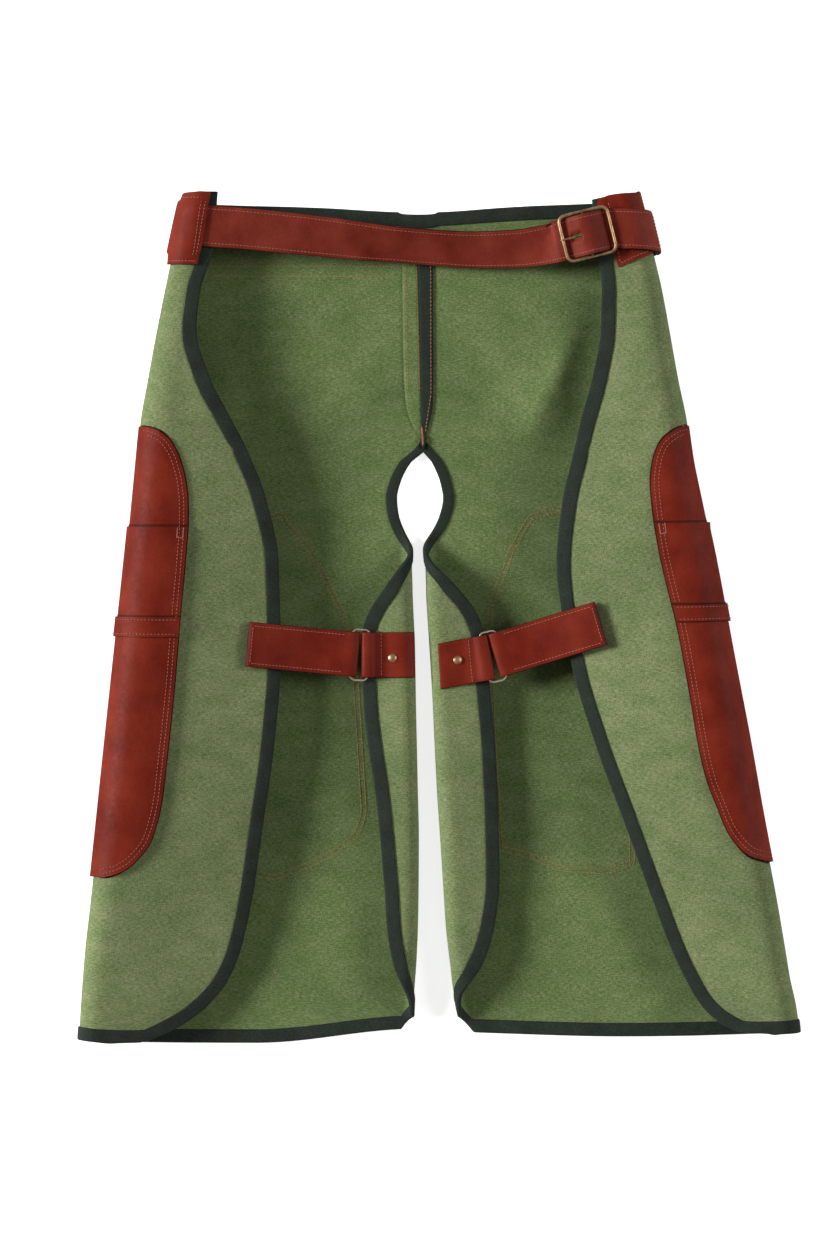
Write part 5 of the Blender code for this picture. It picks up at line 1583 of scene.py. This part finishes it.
def free_station(middle, across, normal, width, thickness):
    """A station off the cloth, from its middle and the strap's own directions."""
    return [[middle + across * side * width / 2 + normal * way * thickness / 2 for way in (-1, 1)]
            for side in (1, -1)]


class Place:
    """A frame of its own for fittings: u along the strap, v across it, n away from the cloth."""

    def __init__(self, origin, turn):
        angle = radians(turn)
        self.origin = Vector(origin)
        self.along = Vector((cos(angle), sin(angle), 0))
        self.across = Vector((-sin(angle), cos(angle), 0))
        self.up = Vector((0, 0, 1))

    def at(self, u, v, n):
        return self.origin + self.along * u + self.across * v + self.up * n


def path_stations(place, path, width, thickness):
    """Stations square to a path of (u, n) in a fitting's own frame."""
    stations = []
    for k, (u, n) in enumerate(path):
        before, after = path[max(k - 1, 0)], path[min(k + 1, len(path) - 1)]
        along = place.along * (after[0] - before[0]) + place.up * (after[1] - before[1])
        normal = along.cross(place.across).normalized()
        stations.append(free_station(place.at(u, 0, n), place.across, normal, width, thickness))
    return stations


def flip(stations):
    """The stations of a layer that lies the other way up."""
    return [[(a_high, a_low), (b_high, b_low)] for (a_low, a_high), (b_low, b_high) in stations]


def on_flap(sheet, place, u, width, lift, thickness):
    """A strap's station on the outer flap, at a distance from the ring."""
    station = []
    for side in (1, -1):
        spot = place.at(u, side * width / 2, 0)
        row, column = sheet.find(*ON_FLAP_COLUMNS, spot.x * sheet.side, spot.y)
        station.append(sheet.edge_of(row, column, lift, thickness))
    return station


def on_column(sheet, place, column, width, lift):
    """A strap's station along a column of the inner flap, square to the strap."""
    station = []
    for side in (1, -1):
        y = place.origin.y
        for _ in range(3):
            spot = sheet.at(sheet.row_at(column, y), column)
            y += (side * width / 2 - (spot - place.origin).dot(place.across)) / place.across.y
        station.append(sheet.edge_of(sheet.row_at(column, y), column, lift, STRAP))
    return station


def round_bar(way):
    """(u, n) of a strap's middle round a bar of its ring."""
    slant = ROUND_BAR * sin(radians(45))
    tip = BAR - LOOP_SLACK
    path = ((BAR + 3.0, -ROUND_BAR), (BAR, -ROUND_BAR), (tip - slant, -slant), (tip - ROUND_BAR, 0.0),
            (tip - slant, slant), (BAR, ROUND_BAR), (BAR + 3.0, ROUND_BAR))
    return [(way * u, n) for u, n in path]


def leg_strap_stations(leg, sheet):
    """The strap, doubled round the ring's bar, and the hook tape between its layers."""
    place = Place(RING_PLACE[leg], STRAP_TURN[leg])
    low, hooks, high = LAYER_LIFTS
    spread = (high - low) / 2
    near = [free_station(place.at(NEAR_RING, 0, n), place.across, place.up, STRAP_WIDTH, STRAP)
            for n in (-spread, spread)]
    lower = [on_flap(sheet, place, u, STRAP_WIDTH, low, STRAP) for u in reversed(ON_FLAP)]
    upper = [on_flap(sheet, place, u, STRAP_WIDTH, high, STRAP) for u in ON_FLAP]
    loop = path_stations(place, round_bar(1), STRAP_WIDTH, STRAP)
    stations = smooth_stations(flip(lower + [near[0]]) + loop + [near[1]] + upper, step=3.0)
    start = free_station(place.at(NEAR_RING + 1.0, 0, 0), place.across, place.up, HOOKS_WIDTH, HOOKS)
    on_hooks = [on_flap(sheet, place, u, HOOKS_WIDTH, hooks, HOOKS) for u in ON_FLAP]
    return stations, smooth_stations([start] + on_hooks)


def ring_tab_stations(leg, sheet):
    """The tab, doubled round the ring's other bar, with its upper layer on the inner flap."""
    place = Place(RING_PLACE[leg], TAB_TURN[leg])
    loop = path_stations(place, round_bar(-1), TAB_WIDTH, STRAP)
    lower = [on_column(sheet, place, TAB_RETURN[0], TAB_WIDTH, TAB_RETURN[1])]
    columns = [20.5 - k / 2 for k in range(10) if 20.5 - k / 2 > TAB_END[leg]] + [TAB_END[leg]]
    stations = TAB_STATIONS + tuple((column, TAB_LEVEL) for column in columns)
    upper = [on_column(sheet, place, column, TAB_WIDTH, lift) for column, lift in stations]
    return smooth_stations(lower + loop + flip(upper), step=2.5)


def leg_strap(leg, sheet, looks):
    """Strap, hook tape and ring tab, with the leather's stitching."""
    stations, hook_stations = leg_strap_stations(leg, sheet)
    piece = strap("fine_leg_strap_" + leg, stations, looks["leather"])
    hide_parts("leg_strap_" + leg)
    hooks = strap("fine_strap_tape_" + leg, hook_stations, looks["hooks"])
    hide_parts("strap_tape_" + leg)
    tab = ring_tab_stations(leg, sheet)
    piece = strap("fine_ring_tab_" + leg, tab, looks["leather"])
    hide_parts("ring_tab_" + leg)

    upper = stations[len(stations) // 2:]
    upper_tab = flip(tab[len(tab) // 2:])
    lines = [[strap_spot(station, share) for station in upper[4:-1]] for share in STRAP_ROWS]
    lines.append(cross_line(upper[-2]))
    seam = min(upper_tab, key=lambda station: abs((station[0][1] + station[1][1]).x / 2 - TAB_SEAM[leg]))
    lines.append(cross_line(seam, 0.04, 0.96))
    thread("strap_thread_" + leg, lines, looks["leather_thread"], pitch=3.2, length=2.3)


# Metal ------------------------------------------------------------------------------------------

def wire(name, points, radius, looks, closed=False):
    """A round wire through points; radius may be a list."""
    loops = []
    count = len(points)
    for k, point in enumerate(points):
        before = points[k - 1] if closed or k > 0 else point
        after = points[(k + 1) % count] if closed or k < count - 1 else point
        along = (after - before).normalized()
        across = along.cross(Vector((0, 0, 1)))
        if across.length < 0.2:     # it runs nearly upright here
            across = along.cross(Vector((1, 0, 0)))
        across.normalize()
        size = radius[k] if isinstance(radius, list) else radius
        loops.append(circle(point, across, across.cross(along).normalized(), size, WIRE_SIDES))
    return sweep(name, loops, looks, closed)


def ring_points(place, length, height, corner):
    """A rectangle with round corners, in a fitting's own frame."""
    points = []
    for quarter, (u_sign, v_sign) in enumerate(((1, 1), (-1, 1), (-1, -1), (1, -1))):
        for turn in evenly(quarter * pi / 2, (quarter + 1) * pi / 2, CORNER_STEPS):
            u = u_sign * (length / 2 - corner) + corner * cos(turn)
            v = v_sign * (height / 2 - corner) + corner * sin(turn)
            points.append(place.at(u, v, 0))
    return points


def dome(name, base, up, looks):
    """A rivet head: a low dome with a rolled rim."""
    along = up.cross(Vector((0, 1, 0))).normalized()
    across = up.cross(along)
    loops = [circle(base + up * RIVET_HEIGHT * rise, along, across, RIVET_RADIUS * reach, RIVET_SIDES)
             for reach, rise in RIVET_PROFILE]
    return sweep(name, loops, looks)


def ring_and_rivet(leg, sheet, looks):
    """The strap's ring, and the rivet on its tab."""
    place = Place(RING_PLACE[leg], RING_TURN[leg])
    points = ring_points(place, 2 * BAR, RING_HEIGHT - 2 * RING_WIRE, RING_CORNER)
    piece = wire("fine_ring_" + leg, points, DRAWN_RING_WIRE, looks["nickel"], closed=True)
    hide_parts("strap_ring_" + leg)
    row, column = sheet.find(*ON_INNER_FLAP, *RIVET_PLACE[leg])
    base = sheet.at(row, column, RIVET_LIFT)
    piece = dome("fine_rivet_" + leg, base, sheet.normal_at(row, column), looks["brass"])
    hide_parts("ring_tab_rivet_" + leg)


# Belt -------------------------------------------------------------------------------------------

def belt_on_hip(sheet, edges, column, lift):
    """The belt's station at a column of the fold."""
    beneath = min(max((column - FOLD_TOP) / (FOLD_FOOT - FOLD_TOP), 0.0), 1.0)
    station = []
    for edge in ("top", "bottom"):
        y = edges[edge][0] + (edges[edge][1] - edges[edge][0]) * beneath
        station.append(sheet.edge_of(sheet.row_at(column, y), column, lift, BELT))
    return station


def belt_across():
    """The free run over the opening, sagging and tipped."""
    first, last = BELT_ACROSS[0][0], BELT_ACROSS[-1][0]
    stations = []
    for x in evenly(first, last, round((last - first) / RUN_STEP)):
        y, z, tip = [curve_value(BELT_ACROSS, BELT_COLUMNS, name, x) for name in ("y", "z", "tip")]
        across = Vector((0, cos(radians(tip)), sin(radians(tip))))
        normal = Vector((0, -sin(radians(tip)), cos(radians(tip))))
        stations.append(free_station(Vector((x, y, z)), across, normal, BELT_WIDTH, BELT))
    return stations


def joined(*runs):
    """Runs of stations as one, smooth where one meets the next."""
    whole = runs[0]
    for run in runs[1:]:
        join = smooth_stations([whole[-2], whole[-1], run[0], run[1]])[1:-1]
        whole = whole[:-2] + join + run[2:]
    return whole


def belt_stations(sheets, place):
    """The belt's one spiral: bar, right hip, under the cloth, left hip, across, buckle and tail."""
    turn = []
    for column in reversed(BELT_TURN):
        lift = TAB_LIFT + (BELT_LIFT - TAB_LIFT) * soft(column - FOLD_SIDE + 1)
        turn.append(belt_on_hip(sheets["right"], BELT_RIGHT, column, lift))
    under = [belt_on_hip(sheets["left"], BELT_LEFT, column, BELT_LIFT)
             for column in BELT_TURN + BELT_LEFT_END]
    tail = [belt_on_hip(sheets["right"], BELT_RIGHT, column, TAIL_LIFT) for column in TAIL_COLUMNS]
    bar_end, through = [smooth_stations(path_stations(place, path, BELT_WIDTH, BELT), step=2.0)
                        for path in (INNER_END, TAIL_THROUGH)]
    return joined(bar_end, turn + under), joined(belt_across(), through, tail)


def hole_cutter(place, u, v, n, radius, depth, length=0.0):
    """A round or slotted punch through the strap at a fitting's place."""
    points = []
    for level in (n - depth, n + depth):
        for k in range(PUNCH_SIDES):
            turn = 2 * pi * k / PUNCH_SIDES
            stretch = length / 2 * (1 if cos(turn) > 0 else -1)
            points.append(place.at(u + radius * cos(turn) + stretch, v + radius * sin(turn), level))
    return body("punch", points, rings(2, PUNCH_SIDES))


def slot_cutter(place, slot):
    """The punch for a slot given as (span of u, half width, span of n)."""
    (start, end), radius, (under, over) = slot
    depth, length = (over - under) / 2, end - start - 2 * radius
    return hole_cutter(place, (start + end) / 2, 0, (under + over) / 2, radius, depth, length)


def punched(piece, punches):
    """Cut the holes for good and take the punches away."""
    for punch in punches:
        boolean = piece.modifiers.new("hole", "BOOLEAN")
        boolean.operation = "DIFFERENCE"
        boolean.solver = "EXACT"
        boolean.object = punch
    graph = bpy.context.evaluated_depsgraph_get()
    mesh = bpy.data.meshes.new_from_object(piece.evaluated_get(graph))
    piece.modifiers.clear()
    piece.data = mesh
    for punch in punches:
        bpy.data.objects.remove(punch, do_unlink=True)


def belt(sheets, place, looks):
    """The belt with its holes and its stitching."""
    inner_part, outer_part = belt_stations(sheets, place)
    stations = inner_part + outer_part
    piece = strap("fine_belt", stations, looks["belt"])
    punches = [slot_cutter(place, PRONG_HOLE), slot_cutter(place, SLOT)]
    punches += [hole_cutter(place, u, v, n, SPARE_HOLE, SPARE_DEPTH) for u, v, n in SPARE_HOLES]
    punched(piece, punches)
    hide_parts("belt_strap")
    lines = [[strap_spot(station, share) for station in stations[FIRST_SEWN:-2]] for share in BELT_ROWS]
    lines.append(cross_line(outer_part[-3]))
    thread("belt_thread", lines, looks["leather_thread"], pitch=3.25, length=2.35)


def buckle(place, looks):
    """A frame with a bar, and a prong that turns on it and lies on the frame."""
    height = BUCKLE_HEIGHT - 2 * BUCKLE_WIRE
    ring = ring_points(place, BAR_SPACING, height, BUCKLE_CORNER)
    wire_piece = wire("fine_buckle_frame", ring, BUCKLE_WIRE, looks["brass"], closed=True)
    bar = [place.at(0, side * (height / 2 - BAR_INSET), 0) for side in (-1, 1)]
    wire("fine_buckle_bar", bar, BUCKLE_WIRE * 0.96, looks["brass"])
    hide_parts("buckle_frame")
    points = hermite([place.at(u, 0, n) for u, n in PRONG_PATH], [4] * (len(PRONG_PATH) - 1))
    sizes = [PRONG_WIRE] * (len(points) - len(PRONG_TIP)) + [PRONG_WIRE * share for share in PRONG_TIP]
    prong = wire("fine_prong", points, sizes, looks["brass"])
    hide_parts("buckle_prong")


# Stage ------------------------------------------------------------------------------------------

def floor():
    """A plain pale floor, which also glows for the camera."""
    mesh = bpy.data.meshes.new("floor")
    corners = [(x * FLOOR_SIZE, y * FLOOR_SIZE, FLOOR_Z) for x, y in ((-1, -1), (1, -1), (1, 1), (-1, 1))]
    mesh.from_pydata(corners, [], [(0, 1, 2, 3)])
    look = Look("floor", 1.0)
    ray = look.add("ShaderNodeLightPath").outputs["Is Camera Ray"]
    glow = look.add("ShaderNodeMath", {0: ray, 1: FLOOR_GLOW}, operation="MULTIPLY").outputs[0]
    look.shine({"Base Color": FLOOR_COLOUR, "Specular IOR Level": 0.0,
                "Emission Color": (1, 1, 1, 1), "Emission Strength": glow})
    mesh.materials.append(look.made)
    plane = bpy.data.objects.new("floor", mesh)
    bpy.context.collection.objects.link(plane)


def sky():
    """An even sky, brighter in reflections."""
    world = bpy.data.worlds.new("sky")
    bpy.context.scene.world = world
    world.use_nodes = True
    nodes = Nodes(world.node_tree)
    inputs = {"Value": nodes.add("ShaderNodeLightPath").outputs["Is Glossy Ray"],
              "To Min": SKY, "To Max": SKY_IN_METAL}
    strength = nodes.add("ShaderNodeMapRange", inputs).outputs["Result"]
    nodes.feed(world.node_tree.nodes["Background"], {"Color": (1.0, 1.0, 1.0, 1), "Strength": strength})


def lamps():
    """A broad lamp low on each side."""
    for name, toward, share, softness in LAMPS:
        way = Vector(toward).normalized()
        lamp = bpy.data.lights.new(name, "SUN")
        lamp.energy = share * pi / way.z
        lamp.angle = radians(softness)
        holder = bpy.data.objects.new(name, lamp)
        holder.location = way * LAMP_DISTANCE
        holder.rotation_euler = (-way).to_track_quat("-Z", "Y").to_euler()
        bpy.context.collection.objects.link(holder)


def camera():
    """Straight down from far away, so that the cloth is seen as laid out."""
    eye = bpy.data.cameras.new("camera")
    eye.sensor_fit = "VERTICAL"
    eye.sensor_height = SENSOR
    eye.lens = SENSOR * CAMERA_DISTANCE / VIEW_HEIGHT
    eye.clip_end = 100.0
    holder = bpy.data.objects.new("camera", eye)
    centre = (Vector(VIEW_CENTRE) - ORIGIN) * MM
    holder.location = centre + Vector((0, 0, CAMERA_DISTANCE * MM))
    bpy.context.collection.objects.link(holder)
    bpy.context.scene.camera = holder
    bpy.context.scene.view_settings.view_transform = "Standard"


def main():
    sheets = {leg: Sheet(leg) for leg in SIDES}
    looks = make_looks()
    for leg, sheet in sheets.items():
        cloth = leg_cloth("canvas_" + leg, sheet, looks["inside"] + looks["outside"])
        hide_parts("leg_" + leg)
        edge = leg_tape("tape_" + leg, sheet, looks["tape"])
        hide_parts("edge_binding_" + leg)
        width, area = cut_area(sheet)
        pocket(leg, sheet, looks)
        pocket_threads(leg, sheet, looks["leather_thread"])
        knee_pad(leg, sheet, looks)
        leg_strap(leg, sheet, looks)
        ring_and_rivet(leg, sheet, looks)
    waist = waist_tape("tape_waist", sheets, looks["tape"])
    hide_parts("waist_binding")
    seam_strip("seam_allowance", "near", "seam", looks["inside"])
    seam_strip("seam_binding", "seam", "far", looks["tape"], CROTCH_BINDING)
    hip_tabs(sheets, looks)
    place = Place(BUCKLE_PLACE, BUCKLE_TURN)
    belt(sheets, place, looks)
    buckle(place, looks)
    cloth_threads(sheets, looks)
    floor()
    sky()
    lamps()
    camera()


main()
